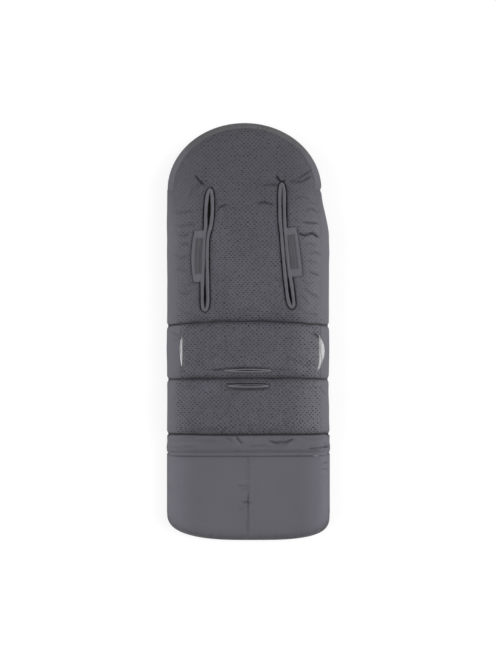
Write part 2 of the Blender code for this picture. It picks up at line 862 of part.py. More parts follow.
def build_hood(back, pivot):
    """Hood folded under the head end: wall, hem and elastic."""
    outer = hood_path(LINING_INSET - HOOD_WALL - GAP)
    inner = hood_path(LINING_INSET - GAP)
    base = 2 * HEM_RADIUS + HEM_LIFT + GAP
    rings = []
    for near, far in zip(inner, outer):
        rings.append(roll_ring(near, far, base, BACK_BASE - GAP, BOX_PROFILE_SHARES))
    loft("hood_wall", rings, hem_cloth(), back, False, pivot)
    tube_path = hood_path(LINING_INSET - GAP - HOOD_WALL / 2)
    centre = HEM_RADIUS + HEM_LIFT
    hem = tube_rings(tube_path, HEM_RADIUS, centre)
    bore = tube_rings(tube_path, HEM_BORE, centre)
    pipe("hood_hem", hem, bore, hem_cloth(), back, pivot)
    loft("hood_elastic", tube_rings(tube_path, ELASTIC_RADIUS, centre), rubber(), back, False, pivot)


def tube_rings(path, radius, height):
    """Rings of a round tube along a flat path."""
    rings = []
    count = len(path)
    for index in range(count):
        before = Vector(path[max(index - 1, 0)])
        after = Vector(path[min(index + 1, count - 1)])
        ahead = (after - before).normalized()
        out = Vector((ahead.y, -ahead.x))
        ring = []
        for step in range(TUBE_SIDES):
            angle = 2 * math.pi * step / TUBE_SIDES
            place = Vector(path[index]) + out * radius * math.cos(angle)
            ring.append((place.x, place.y, height + radius * math.sin(angle)))
        rings.append(ring)
    return rings


def harness_line(side):
    """Ends of a harness slot's centre line, from its lower to its upper end."""
    inset = HARNESS_LEFT_INSET if side < 0 else HARNESS_RIGHT_INSET
    middle = side * (HALF_WIDTH - inset)
    splay = HARNESS_LEFT_SPLAY if side < 0 else HARNESS_RIGHT_SPLAY
    top = HEAD_END_Y - HARNESS_SLOT_TOP
    low = (middle + side * splay / 2, top - HARNESS_SLOT_LENGTH)
    return low, (middle - side * splay / 2, top)


def build_slots(back, pivot, pads, edges):
    """Slots through the back, with their bindings."""
    reach = SLOT_GAP / 2 + SLOT_WALL + GAP
    for side in (-1, 1):
        low, high = harness_line(side)
        name = "harness_slot_" + side_name(side)
        cutter = slot_cutter(name + "_cutter", low, high, reach)
        for label in ("upper_cover", "upper_wadding", "lining"):
            cut(pads[label], cutter)
        bound_slot(name + "_binding", low, high, back, pivot, 2 * SLOT_STEPS)
        lap_x = panel_edge(KNEE_SEAM_Y, side)
        lap_y = KNEE_SEAM_Y + LAP_SLOT_OFFSET
        low = (lap_x, lap_y - LAP_SLOT_LENGTH / 2)
        high = (lap_x, lap_y + LAP_SLOT_LENGTH / 2)
        name = "lap_slot_" + side_name(side)
        lap_reach = LAP_SLOT_GAP / 2 + SLOT_WALL + GAP
        cutter = slot_cutter(name + "_cutter", low, high, lap_reach)
        for target in (pads["seat_cover"], pads["seat_wadding"], pads["lining"], edges[side]):
            cut(target, cutter)
        plain_slot(name + "_binding", low, high, back, pivot)
    half = CROTCH_SLOT_LENGTH / 2
    for label, y, pad in (
        ("upper", KNEE_SEAM_Y + CROTCH_UPPER_OFFSET, "seat"),
        ("lower", KNEE_SEAM_Y - CROTCH_LOWER_OFFSET, "leg"),
    ):
        name = "crotch_slot_" + label
        cutter = slot_cutter(name + "_cutter", (-half, y), (half, y), reach)
        for target in (pads[pad + "_cover"], pads[pad + "_wadding"], pads["lining"]):
            cut(target, cutter)
        bound_slot(name + "_binding", (-half, y), (half, y), back, pivot)


def tab_rows(line, side, length, near, width, bulge, lift):
    """Grid of places beside a slot, lifted off the crown."""
    low, high = Vector(line[0]), Vector(line[1])
    ahead = (high - low).normalized()
    out = Vector((ahead.y, -ahead.x)) * side
    middle = high - ahead * TAB_OFFSET
    rows = []
    steps = CORNER_STEPS
    for row in range(steps + 1):
        share = row / steps
        along = ahead * length * (share - 0.5)
        reach = width + bulge * math.sin(math.pi * share)
        points = []
        for column in range(steps):
            place = middle + along + out * (near + reach * column / (steps - 1))
            points.append((place.x, place.y, crown(place.x, place.y) + lift))
        rows.append(points)
    return rows


def build_tabs(back, back_pivot):
    """Closing tabs over the harness slots, with hook and loop patches."""
    for side in (-1, 1):
        line = harness_line(side)
        low, high = Vector(line[0]), Vector(line[1])
        middle = high - (high - low).normalized() * TAB_OFFSET
        lift = SLOT_LIP_HEIGHT + GAP
        pivot = (middle.x, middle.y, PAD_TOP + lift)
        axis = add_axis("tab_axis_" + side_name(side), pivot, back)
        top = tab_rows(line, side, TAB_LENGTH, 0.0, TAB_WIDTH, TAB_BULGE, lift + TAB_THICK)
        under = tab_rows(line, side, TAB_LENGTH, 0.0, TAB_WIDTH, TAB_BULGE, lift)
        bent_plate("tab_" + side_name(side), top, under, hem_cloth(), axis, pivot)
        near = SLOT_GAP / 2 + SLOT_WALL + SLOT_LIP + GAP
        hook_base = LOOP_THICK + 2 * GAP
        layers = (
            ("hook_patch_", PATCH_LENGTH, hook_base, lift - GAP, axis, pivot),
            ("loop_patch_", LOOP_LENGTH, GAP, GAP + LOOP_THICK, back, back_pivot),
        )
        for label, length, base, roof, parent, origin in layers:
            upper = tab_rows(line, side, length, near, PATCH_WIDTH, 0.0, roof)
            lower = tab_rows(line, side, length, near, PATCH_WIDTH, 0.0, base)
            bent_plate(label + side_name(side), upper, lower, hook_tape(), parent, origin)


def sleeve_outline(inset, radius):
    """Rounded section of the band, inset all round."""
    reach = HALF_WIDTH - FOOT_NARROWING - inset
    low = inset
    high = BAND_HEIGHT - inset
    points = []
    corners = (
        (reach - radius, low + radius, -math.pi / 2), (reach - radius, high - radius, 0.0),
        (-reach + radius, high - radius, math.pi / 2), (-reach + radius, low + radius, math.pi),
    )
    for x, z, first in corners:
        for step in range(CORNER_STEPS + 1):
            angle = first + math.pi / 2 * step / CORNER_STEPS
            points.append((x + radius * math.cos(angle), z + radius * math.sin(angle)))
    return points


def sleeve(name, inset, radius, wall, low, high, made_of, parent=None, pivot=(0.0, 0.0, 0.0)):
    """Tube along Y with the band's section."""
    outer = []
    inner = []
    for y in (low, high):
        outer.append([(x, y, z) for x, z in sleeve_outline(inset, radius)])
        inner.append([(x, y, z) for x, z in sleeve_outline(inset + wall, radius - wall)])
    return pipe(name, outer, inner, made_of, parent, pivot)


def build_band(foot, foot_pivot, pleat, pleat_pivot):
    """Extension band, its folded pleat, and the zip under its flap."""
    sleeve(
        "band_sleeve", 0.0, BAND_CORNER, BAND_WALL, FOLD_Y + GAP / 2, BAND_SEAM_Y - GAP / 2,
        plain_nylon())
    reach = EXTENSION / 2 + PLEAT_OVERLAP
    sleeve(
        "pleat_sleeve", BAND_WALL + PLEAT_GAP, PLEAT_CORNER, PLEAT_WALL, FOLD_Y - reach,
        FOLD_Y + reach, plain_nylon(), pleat, pleat_pivot)
    base = BAND_HEIGHT + GAP
    top = base + EXTENSION_ZIP_THICK
    length = (EXTENSION_TEETH + 1) * EXTENSION_PITCH
    start = -length / 2
    shift = TOOTH_HEIGHT - TOOTH_BITE / 2
    halves = (
        ("extension_zip_band", 0.0, FOLD_Y + shift, -1, None, (0.0, 0.0, 0.0)),
        ("extension_zip_foot", EXTENSION_PITCH / 2, FOLD_Y - shift, 1, foot, foot_pivot),
    )
    for name, offset, level, rise, parent, pivot in halves:
        outline = comb_outline(
            start, EXTENSION_TEETH, offset, level, rise, EXTENSION_TAPE, EXTENSION_PITCH)
        prism(name, outline, base, top, zip_plastic(), parent, pivot)
    flap_base = top + SLIDER_THICK + 2 * GAP
    half = HALF_WIDTH - FLAP_MARGIN
    band_side = FOLD_Y + FLAP_WIDTH / 2
    foot_side = FOLD_Y - FLAP_WIDTH / 2
    tape_edge = FOLD_Y + shift + EXTENSION_TAPE
    section = [
        (tape_edge + GAP, base), (tape_edge + GAP + FLAP_THICK, base),
        (tape_edge + GAP + FLAP_THICK, flap_base + FLAP_THICK / 2),
        (band_side, flap_base + FLAP_THICK), (foot_side, flap_base + FLAP_THICK),
        (foot_side, flap_base), (tape_edge + GAP, flap_base),
    ]
    prism("extension_flap", section, -half, half, plain_nylon(), axis=0)
    slider_x = length / 2 - SLIDER_LENGTH / 2
    slider_z = top + GAP
    pivot = (slider_x, FOLD_Y, slider_z)
    axis = add_axis("extension_slider_axis", pivot)
    outline = [
        (slider_x + along, FOLD_Y + across)
        for along, across in slider_outline(SLIDER_LENGTH, SLIDER_HEIGHT)
    ]
    prism("extension_slider", outline, slider_z, slider_z + SLIDER_THICK, zip_metal(), axis, pivot)


def foot_power(side):
    return FOOT_LEFT_POWER if side < 0 else FOOT_RIGHT_POWER


def foot_half(y, side):
    """Half the width of the foot bag at y, with its rounded end."""
    depth = (FOOT_END_Y + FOOT_CORNER_Y - y) / FOOT_CORNER_Y
    share = min(max(depth, 0.0), 1.0)
    power = foot_power(side)
    return (HALF_WIDTH - FOOT_NARROWING) * (1 - share ** power) ** (1 / power)


def foot_end(x, side):
    """Lowest y of the foot bag at x."""
    share = min(abs(x) / (HALF_WIDTH - FOOT_NARROWING), 1.0)
    power = foot_power(side)
    return FOOT_END_Y + FOOT_CORNER_Y * (1 - (1 - share ** power) ** (1 / power))


def foot_outline(inset, mouth):
    """Outline of the foot bag, from its mouth round the toes."""
    sides = []
    reach = HALF_WIDTH - FOOT_NARROWING - inset
    depth = FOOT_CORNER_Y - inset
    for side in (1, -1):
        points = [(side * reach, mouth)]
        for step in range(FOOT_CORNER_STEPS + 1):
            angle = math.pi / 2 * step / FOOT_CORNER_STEPS
            power = 2 / foot_power(side)
            x = side * reach * max(math.cos(angle), 0.0) ** power
            points.append((x, FOOT_END_Y + FOOT_CORNER_Y - depth * math.sin(angle) ** power))
        sides.append(points)
    return sides[0] + sides[1][-2::-1]


def foot_rise(x, y, side):
    """Height of the foot bag's back over its wall, from 0 to 1."""
    across = min(max((foot_half(y, side) - abs(x)) / FOOT_ROLL, 0.0), 1.0)
    along = min(max((y - foot_end(x, side)) / FOOT_ROLL, 0.0), 1.0)
    return math.sqrt(1 - (1 - across) ** 2) * math.sqrt(1 - (1 - along) ** 2)


def foot_rows(side, inset, drop, mouth):
    """Grid over one half of the foot bag's back."""
    base = FOOT_CLOTH + FOOT_WALL_HEIGHT + 2 * GAP
    rows = []
    length = mouth - FOOT_END_Y
    for along in FOOT_GRID_SHARES:
        y = mouth - (length - inset) * along
        reach = foot_half(y, side) - inset
        row = []
        for across in FOOT_ACROSS_SHARES:
            x = side * (reach + (GAP / 2 - reach) * across)
            rise = foot_rise(x + side * inset * (1 - across), y - inset * along, side)
            mouth_dip = FOOT_MOUTH_DROP * (1 - swell(mouth - y, FOOT_ROLL))
            height = base + (FOOT_TOP - base - mouth_dip - drop) * rise
            row.append((x, y, height))
        rows.append(row)
    return rows


def build_foot(foot, pivot):
    """Foot bag: two halves behind, a front panel, a wall and linings."""
    mouth = FOLD_Y - GAP / 2
    prism(
        "foot_front", foot_outline(0.0, mouth), 0.0, FOOT_CLOTH, plain_nylon(), foot, pivot)
    wall_low = FOOT_CLOTH + GAP
    outer = foot_outline(0.0, mouth)
    inner = foot_outline(FOOT_CLOTH, mouth)
    rings = []
    for near, far in zip(inner, outer):
        rings.append(roll_ring(near, far, wall_low, wall_low + FOOT_WALL_HEIGHT, BOX_PROFILE_SHARES))
    loft("foot_wall", rings, side_nylon(), foot, False, pivot)
    for side in (-1, 1):
        top = foot_rows(side, 0.0, 0.0, mouth)
        under = foot_rows(side, FOOT_CLOTH, FOOT_CLOTH, mouth)
        bent_plate("foot_back_" + side_name(side), top, under, plain_nylon(), foot, pivot)
    lining_mouth = FOLD_Y - EXTENSION / 2 - PLEAT_OVERLAP - GAP
    lining = foot_outline(FOOT_LINING_INSET, lining_mouth)
    for label, base in (("front", FOOT_CLOTH + GAP), ("back", FOOT_LINING_LIFT)):
        prism(
            "foot_lining_" + label, lining, base, base + FOOT_LINING, fleece(), foot, pivot)


def build():
    """Clear the scene and build the footmuff."""
    for leftover in list(bpy.data.objects):
        bpy.data.objects.remove(leftover, do_unlink=True)
    back_pivot = (0.0, BAND_SEAM_Y, HINGE_Z)
    back = add_axis("back_axis", back_pivot)
    foot_pivot = (0.0, FOLD_Y, 0.0)
    foot = add_axis("foot_axis", foot_pivot)
    pleat = add_axis("pleat_axis", foot_pivot)
    build_cover()
    build_side_zips(back, back_pivot)
    build_sliders()
    pads = build_back(back, back_pivot)
    edges = build_edges(back, back_pivot)
    build_slots(back, back_pivot, pads, edges)
    build_hood(back, back_pivot)
    build_tabs(back, back_pivot)
    build_band(foot, foot_pivot, pleat, foot_pivot)
    build_foot(foot, foot_pivot)


build()
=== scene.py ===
import math

import bmesh
import bpy
import numpy as np
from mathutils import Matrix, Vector
from mathutils.bvhtree import BVHTree


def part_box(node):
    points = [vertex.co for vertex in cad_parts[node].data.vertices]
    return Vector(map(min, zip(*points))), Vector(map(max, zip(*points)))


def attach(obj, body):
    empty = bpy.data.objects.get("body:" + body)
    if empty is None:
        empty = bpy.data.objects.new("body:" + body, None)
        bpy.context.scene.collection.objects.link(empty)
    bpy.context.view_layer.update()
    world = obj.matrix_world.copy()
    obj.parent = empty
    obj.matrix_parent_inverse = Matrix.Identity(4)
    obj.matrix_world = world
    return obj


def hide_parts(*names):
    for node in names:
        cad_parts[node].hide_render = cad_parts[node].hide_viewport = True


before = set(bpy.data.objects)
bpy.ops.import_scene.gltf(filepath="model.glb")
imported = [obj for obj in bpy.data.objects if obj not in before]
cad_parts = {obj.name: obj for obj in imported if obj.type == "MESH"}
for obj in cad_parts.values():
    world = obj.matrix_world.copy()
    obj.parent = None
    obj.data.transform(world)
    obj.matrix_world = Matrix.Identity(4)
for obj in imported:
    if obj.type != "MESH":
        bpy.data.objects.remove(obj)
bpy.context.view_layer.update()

# Places read from the frame
BAND_LOW, BAND_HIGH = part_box("band_sleeve")
FOLD_Y = BAND_LOW.y
BAND_SEAM_Y = BAND_HIGH.y
FOOT_END_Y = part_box("foot_front")[0].y
FOOT_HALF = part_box("foot_front")[1].x
HALF_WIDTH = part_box("edge_roll_right")[1].x
HEAD_END_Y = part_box("hood_rim")[1].y
PAD_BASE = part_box("seat_pad_cover")[0].z
LINING_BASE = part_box("back_lining")[0].z
LINING_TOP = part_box("back_lining")[1].z

# Outline of the back
KNEE_SEAM_Y = -0.1180
SEAT_SEAM_Y = 0.0160
SPRING_Y = 0.3550
SHOULDER = 0.1150
HEAD_HALF = 0.1925
HEAD_LEAN = 0.0087
HEAD_ARCH = HEAD_END_Y - SPRING_Y
LEFT_ROLL = 0.0340
RIGHT_ROLL = 0.0230
HEAD_ROLL = 0.0165
SEAT_BOW = 0.0110
KNEE_BOW = 0.0025
BAND_BOW = 0.0028
BAND_HANG = -0.0020

# Heights of the padded back
PAD_TOP = 0.0560
SIDE_Z = 0.0405
SIDE_ROUND = 0.0360
BROAD_DROP = 0.0045
BROAD_REACH = 0.0240
TIGHT_DROP = 0.0120
TIGHT_REACH = 0.0062
NOTCH_DEPTH = 0.0032
NOTCH_REACH = 0.0055
HEM_NOTCH = 0.0030
PANEL_GROOVE = 0.0002
SEAT_PANEL_GROOVE = 0.0016
BINDING_GROOVE = 0.0040
BINDING_REACH = 0.0078
PANEL_REACH = 0.0022
GAP = 0.0003
# Pieces sewn to each other share this much at their seam
SEWN_LAP = 0.0002

# Foot bag and band
FOOT_MID_Z = 0.0228
FOOT_TOP = 0.0485
FOOT_ROUND = 0.0320
FOOT_CORNER_Y = 0.0740
FOOT_POWER = (2.8, 3.5)
# How much fuller the bag and band are than the sleeve's straight sides: left, right
FOOT_FULL = (0.0020, 0.0040)
CLOTH_THICK = 0.0020

# Flap over the extension zip: sewn edge and free edge
FLAP_TOP_Y = FOLD_Y + 0.0082
FLAP_FREE_Y = FOLD_Y - 0.0034
FLAP_THICK = 0.0010
FLAP_INSET = 0.004
FLAP_ROWS = 20
FLAP_COLUMNS = 240
FLAP_WAVER = 0.0007
FLAP_DIP = 0.0006
FLAP_LIFT = 0.0042
FLAP_DITCH = 0.0010
FLAP_EDGE_FALL = 0.0006
FLAP_OFF = 0.0004

# Unevenness of the surfaces: depth and size of the bumps, and a seed
BACK_BUMPS = ((0.0009, 0.075, 5), (0.00045, 0.028, 8), (0.00018, 0.0105, 12))
FOOT_BUMPS = ((0.0012, 0.11, 41), (0.0005, 0.042, 43), (0.00015, 0.012, 47))
BAND_BUMPS = ((0.0010, 0.06, 61), (0.0007, 0.022, 63), (0.0002, 0.009, 65))
BACK_CURLS = ((0.0003, 0.006, 91), (0.0004, 0.03, 93))
FOOT_CURLS = ((0.0003, 0.006, 131), (0.0003, 0.03, 133))

# Angle past which an edge is drawn sharp
SHARP_ANGLE = math.radians(50.0)

# Camera and light
CAMERA_HEIGHT = 3.9600
CAMERA_LENS = 85.0
SENSOR = 36.0


def smooth(share):
    held = np.clip(share, 0.0, 1.0)
    return held * held * (3 - 2 * held)


def swell(distance, reach):
    """0 on a seam, 1 past the reach."""
    return np.sin(np.pi / 2 * np.clip(distance / reach, 0.0, 1.0))


def quarter(distance, reach):
    """Quarter of an ellipse: 0 at the edge, 1 past the reach."""
    share = np.clip(distance / reach, 0, 1)
    return np.sqrt(np.maximum(1 - (1 - share) ** 2, 0))


def bell(distance, reach):
    return np.exp(-((distance / reach) ** 2))


def cleft(distance, reach):
    """Like bell, with a sharp bottom."""
    return np.exp(-1.2 * np.abs(distance) / reach)


def head_share(y):
    """0 along the body, 1 at the head's arch."""
    return smooth((y - SPRING_Y + SHOULDER) / SHOULDER)


def centre_x(y):
    return -HEAD_LEAN * head_share(y)


def half_width(y):
    return HALF_WIDTH + (HEAD_HALF - HALF_WIDTH) * head_share(y)


def roll_width(y, side):
    body = LEFT_ROLL if side < 0 else RIGHT_ROLL
    return body + (HEAD_ROLL - body) * head_share(y)


def panel_edge(y, side):
    """Edge of the dotted cloth on the left, side -1, or on the right, side 1."""
    return centre_x(y) + side * (half_width(y) - roll_width(y, side))


def seam_wave(x, seed):
    """Small wander of a sewn seam."""
    return 0.0009 * line_noise(x, 0.060, seed) + 0.0005 * line_noise(x, 0.022, seed + 1)


def seat_seam(x):
    return SEAT_SEAM_Y + SEAT_BOW * (1 - (x / HALF_WIDTH) ** 2) + seam_wave(x, 141)


def knee_seam(x):
    return KNEE_SEAM_Y + KNEE_BOW * (1 - (x / HALF_WIDTH) ** 2) + seam_wave(x, 145)


def band_seam(x):
    return BAND_SEAM_Y + 0.0 * x


def lattice(columns, rows, seed):
    """Repeatable random value of each lattice cell, from -1 to 1."""
    mixed = np.sin(columns * 127.1 + rows * 311.7 + seed * 74.7) * 43758.5453
    return 2 * (mixed - np.floor(mixed)) - 1


def value_noise(x, y, size, seed):
    """Smooth random relief with bumps of the given size."""
    across = x / size + 37.3
    along = y / size + 91.7
    column = np.floor(across)
    row = np.floor(along)
    u = smooth(across - column)
    v = smooth(along - row)
    near = lattice(column, row, seed) * (1 - u) + lattice(column + 1, row, seed) * u
    far = lattice(column, row + 1, seed) * (1 - u) + lattice(column + 1, row + 1, seed) * u
    return near * (1 - v) + far * v


def line_noise(x, size, seed):
    """Smooth random relief that changes along one direction only."""
    return value_noise(x, x * 0, size, seed)


def layered(x, y, *layers):
    """Sum of reliefs, each given by its depth, size of bump and seed."""
    total = 0.0
    for depth, size, seed in layers:
        total = total + depth * value_noise(x, y, size, seed)
    return total


def crowded(count, share):
    """Even places from -1 to 1, drawn towards both sides by the share."""
    even = np.linspace(-1, 1, count)
    return (1 - share) * even + share * np.sin(np.pi / 2 * even)


def edge_distance(x, y):
    """How far inside the outline of the back a place is."""
    straight = half_width(y) - np.abs(x - centre_x(y))
    across = (x - centre_x(SPRING_Y)) / HEAD_HALF
    along = np.maximum(y - SPRING_Y, 0.0) / HEAD_ARCH
    reach = np.sqrt(across ** 2 + along ** 2) + 1e-9
    length = np.hypot(x - centre_x(SPRING_Y), np.maximum(y - SPRING_Y, 0.0))
    return np.where(y > SPRING_Y, length * (1 - reach) / reach, straight)


def line_distance(x, y, points):
    """Distance to a bent line, the share of its length there, and the side."""
    best = np.full(np.shape(x), 1e9)
    share = np.zeros(np.shape(x))
    side = np.ones(np.shape(x))
    lengths = [math.dist(a, b) for a, b in zip(points, points[1:])]
    total = sum(lengths)
    done = 0.0
    for (ax, ay), (bx, by), length in zip(points, points[1:], lengths):
        dx, dy = bx - ax, by - ay
        t = np.clip(((x - ax) * dx + (y - ay) * dy) / (length * length), 0, 1)
        away = np.hypot(x - ax - t * dx, y - ay - t * dy)
        closer = away < best
        best = np.where(closer, away, best)
        share = np.where(closer, (done + t * length) / total, share)
        cross = dx * (y - ay) - dy * (x - ax)
        side = np.where(closer, np.sign(cross), side)
        done += length
    return best, share, side


def crease(x, y, points, depth, width, ridge=0.5):
    """A fold line that fades at both ends, with a ridge on its left side."""
    away, share, side = line_distance(x, y, points)
    fade = np.clip(np.minimum(share, 1 - share) * 5, 0, 1) ** 0.7
    groove = -depth * (0.5 * bell(away, width) + 0.6 * cleft(away, width))
    rise = ridge * depth * bell(away * side - 2.2 * width, 1.3 * width)
    return (groove + rise) * fade


def mm(*values):
    """Lengths written in millimetres, as metres."""
    return tuple(value / 1000 for value in values)


def route(*places):
    """Points of a route, written in millimetres."""
    return tuple(mm(*place) for place in places)


# Outlines of the slots, written in millimetres
HARNESS_LOOPS = {
    "left": route(
        (-94.0, 354), (-90.4, 343), (-88.6, 322), (-89.2, 290), (-93.4, 262), (-99.5, 238),
        (-101.6, 205), (-101.6, 165), (-100.8, 120), (-100.0, 80), (-102.4, 61), (-107.3, 54.5),
        (-112.2, 60), (-113.8, 80), (-113.6, 118), (-111.5, 160), (-110, 205), (-108.3, 238),
        (-105.4, 262), (-105.2, 290), (-103.4, 322), (-99.5, 345),
    ),
    "right": route(
        (84.6, 368.5), (80.2, 356), (79.2, 320), (80.4, 275), (84.0, 238), (87.2, 200),
        (90.6, 160), (94.6, 120), (99.0, 84), (104.2, 67), (109.6, 61.5), (113.8, 68),
        (112.2, 90), (107.6, 122), (101.6, 158), (96.8, 200), (94.0, 238), (91.2, 275),
        (90.2, 320), (89.6, 352),
    ),
}
CROTCH_LOOPS = {
    "upper": route(
        (-58, -95.4), (-40, -94.4), (-18, -93.4), (0, -92.9), (20, -93.2), (44, -94.4), (58, -95.6),
        (44, -97.8), (20, -98.4), (0, -98.6), (-18, -98.3), (-40, -97.4)),
    "lower": route(
        (-50, -134), (-36, -132.8), (-12, -132.3), (14, -132.1), (36, -132.6), (52, -133.8),
        (36, -136.0), (14, -136.4), (-12, -136.4), (-36, -135.8)),
}
LAP_LENSES = {
    "left": route(
        (-162.6, -5.5), (-162.6, -20), (-162.4, -40), (-162.6, -62), (-163.0, -80), (-163.2, -95.5),
        (-166.8, -78), (-169.2, -60), (-170.2, -40), (-167.8, -22)),
    "right": route(
        (178.4, -6.3), (184, -18), (188.6, -32), (190.4, -46), (189, -62), (183.6, -80),
        (173.4, -97.3), (174.6, -80), (176.4, -62), (176.8, -40), (177.2, -22)),
}


# Fold lines in the cloth: route, depth and width, written in millimetres
UPPER_CREASES = (
    (route((-133, 391), (-122, 378), (-106, 362)), 2.2, 2.6),
    (route((70, 389), (76, 380), (83, 371)), 3.0, 2.6),
    (route((92, 378), (84, 372)), 2.4, 2.4),
    (route((99, 371), (125, 380), (158, 405)), 1.8, 3.2),
    (route((111, 370), (135, 374), (158, 389)), 1.8, 3.0),
    (route((133, 273), (158, 270), (180, 271)), 1.6, 2.4),
    (route((121, 247), (140, 240), (160, 246), (181, 232)), 2.4, 3.2),
    (route((-78, 306), (-66, 313), (-50, 317)), 2.0, 3.0),
    (route((20, 318), (42, 323), (66, 314)), 2.0, 3.0),
    (route((30, 362), (55, 366), (80, 365)), 1.6, 3.6),
    (route((-178, 243), (-160, 238), (-146, 246)), 1.4, 3.2),
    (route((-170, 215), (-156, 220), (-144, 214)), 1.2, 3.0),
    (route((150, 150), (166, 144), (180, 138)), 1.4, 3.0),
    (route((136, 110), (155, 95), (178, 84)), 1.2, 3.4),
    (route((120, 62), (146, 46), (176, 38)), 1.0, 3.6),
    (route((-176, 100), (-158, 92), (-140, 98)), 1.0, 3.2),
    (route((-180, 60), (-160, 48), (-138, 44)), 1.0, 3.4),
    (route((-150, 330), (-140, 352), (-120, 372)), 1.0, 4.0),
    (route((-192, 300), (-172, 294), (-150, 300)), 1.0, 3.0),
    (route((-190, 268), (-166, 262), (-142, 268), (-124, 262)), 1.1, 3.2),
    (route((-160, 292), (-148, 300), (-130, 296)), 0.9, 2.8),
    (route((-186, 190), (-168, 184), (-150, 188)), 1.1, 3.0),
    (route((-184, 150), (-170, 156), (-150, 150)), 0.8, 3.0),
    (route((-150, 112), (-138, 122), (-124, 118)), 0.9, 2.8),
    (route((140, 300), (156, 306), (172, 298), (184, 300)), 1.2, 2.8),
    (route((112, 330), (134, 336), (156, 330)), 1.0, 3.0),
    (route((150, 322), (166, 318), (180, 324)), 1.0, 2.8),
    (route((150, 190), (166, 198), (186, 190)), 1.2, 3.0),
    (route((140, 172), (150, 178), (172, 170)), 0.9, 2.8),
    (route((138, 214), (152, 220), (170, 212)), 1.0, 2.8),
    (route((124, 96), (140, 84), (152, 66)), 1.0, 3.0),
    (route((130, 128), (146, 120), (170, 122)), 0.9, 3.2),
    (route((-60, 345), (-66, 360), (-70, 378)), 0.9, 3.4),
    (route((-112, 376), (-120, 366), (-128, 352)), 0.9, 3.2),
    (route((-40, 300), (-10, 306), (18, 300)), 0.8, 4.0),
    (route((-70, 262), (-40, 268), (0, 262)), 0.6, 4.4),
    (route((20, 250), (40, 256), (64, 250)), 0.6, 4.0),
    (route((-60, 60), (-30, 52), (10, 54)), 0.6, 4.4),
)
SEAT_CREASES = (
    (route((96, -66), (118, -72), (140, -84), (160, -88)), 1.2, 2.8),
    (route((112, -60), (126, -64), (140, -64)), 0.9, 2.6),
    (route((158, 2), (168, -6), (176, -18), (178, -34)), 1.0, 2.6),
    (route((-112, -96), (-88, -95), (-60, -93)), 1.2, 2.4),
    (route((60, -94), (84, -96), (104, -96)), 1.0, 2.4),
    (route((-190, 2), (-179, -6), (-168, -10)), 1.0, 2.4),
    (route((-186, -24), (-178, -20), (-170, -12)), 0.9, 2.2),
    (route((178, -90), (150, -74), (120, -70)), 1.0, 3.4),
    (route((150, -4), (168, -8), (182, -18)), 1.2, 2.6),
    (route((-90, -97), (-66, -93), (-20, -89), (30, -90), (60, -95)), 1.8, 2.4),
)
LEG_CREASES = (
    (route((-66, -124), (-66, -132), (-64, -142)), 1.0, 2.6),
    (route((178, -142), (186, -150), (194, -156)), 1.0, 2.4),
    (route((-120, -250), (-96, -246), (-76, -250)), 0.8, 3.0),
    (route((40, -252), (70, -248), (100, -252)), 0.8, 3.0),
    (route((-60, -129), (-30, -128), (20, -128), (58, -130)), 3.0, 2.2),
    (route((-60, -141), (-20, -143), (30, -143), (62, -140)), 2.0, 3.0),
    (route((-176, -134), (-150, -140), (-120, -138)), 1.0, 3.2),
    (route((-70, -256), (-56, -244), (-50, -236)), 1.4, 2.6),
    (route((90, -134), (130, -140), (172, -136)), 0.8, 3.2),
)
BAND_CREASES = (
    (route((148, -292.0), (170, -290.6), (194, -288.0)), 1.5, 1.4),
    (route((188, -288.4), (193, -287.6), (198, -287.0)), 3.8, 2.2),
    (route((-176, -264), (-150, -267), (-124, -264)), 1.0, 2.6),
    (route((-60, -264), (-48, -268), (-36, -276)), 1.2, 2.6),
    (route((-196, -286), (-170, -289), (-130, -288)), 0.9, 3.0),
    (route((-30, -263), (-22, -272), (-13, -281)), 2.0, 3.0),
    (route((50, -273), (70, -278), (96, -276), (117, -268)), 2.6, 2.8),
    (route((60, -281), (84, -283), (104, -280)), 1.0, 3.0),
    (route((-150, -270), (-110, -276), (-70, -274)), 0.8, 4.0),
    (route((-10, -288), (40, -286), (96, -288)), 0.8, 3.0),
    (route((130, -266), (160, -272), (192, -270)), 0.8, 3.4),
    (route((-190, -276), (-168, -272), (-140, -276)), 0.9, 3.2),
)
FOOT_CREASES = (
    (route((-26, -385), (-8, -386), (6, -384)), 1.2, 2.6),
    (route((-20, -393), (-4, -392), (4, -394)), 0.8, 2.2),
    (route((-20, -427), (-6, -425), (10, -426)), 1.2, 2.6),
    (route((-30, -437), (-16, -442), (-4, -438)), 0.9, 2.6),
    (route((-30, -447), (-16, -446), (-4, -444)), 0.7, 2.6),
    (route((186, -330), (194, -326), (200, -327)), 1.6, 2.2),
    (route((182, -345), (192, -343), (200, -344)), 1.2, 2.2),
    (route((-188, -500), (-178, -504), (-168, -498)), 2.2, 2.4),
    (route((170, -505), (181, -499), (189, -486)), 2.6, 2.6),
    (route((-150, -508), (-120, -514), (-96, -514)), 1.0, 3.4),
    (route((60, -512), (100, -510), (130, -502)), 0.8, 3.4),
)
SECTION_CREASES = {"upper": UPPER_CREASES, "seat": SEAT_CREASES, "leg": LEG_CREASES}
CREASE_GAIN = 2.0


def creases(x, y, table):
    """Relief of all the fold lines of a table."""
    total = np.zeros(np.shape(x))
    for points, depth, width in table:
        total += crease(x, y, points, CREASE_GAIN * depth / 1000, width / 1000)
    return total


def seam_places(x, y):
    """How far a place lies above the seat and knee seams, and from the nearest seam."""
    to_seat = y - seat_seam(x)
    to_knee = y - knee_seam(x)
    to_band = y - band_seam(x)
    near = np.minimum(np.minimum(np.abs(to_seat), np.abs(to_knee)), np.abs(to_band))
    return to_seat, to_knee, near


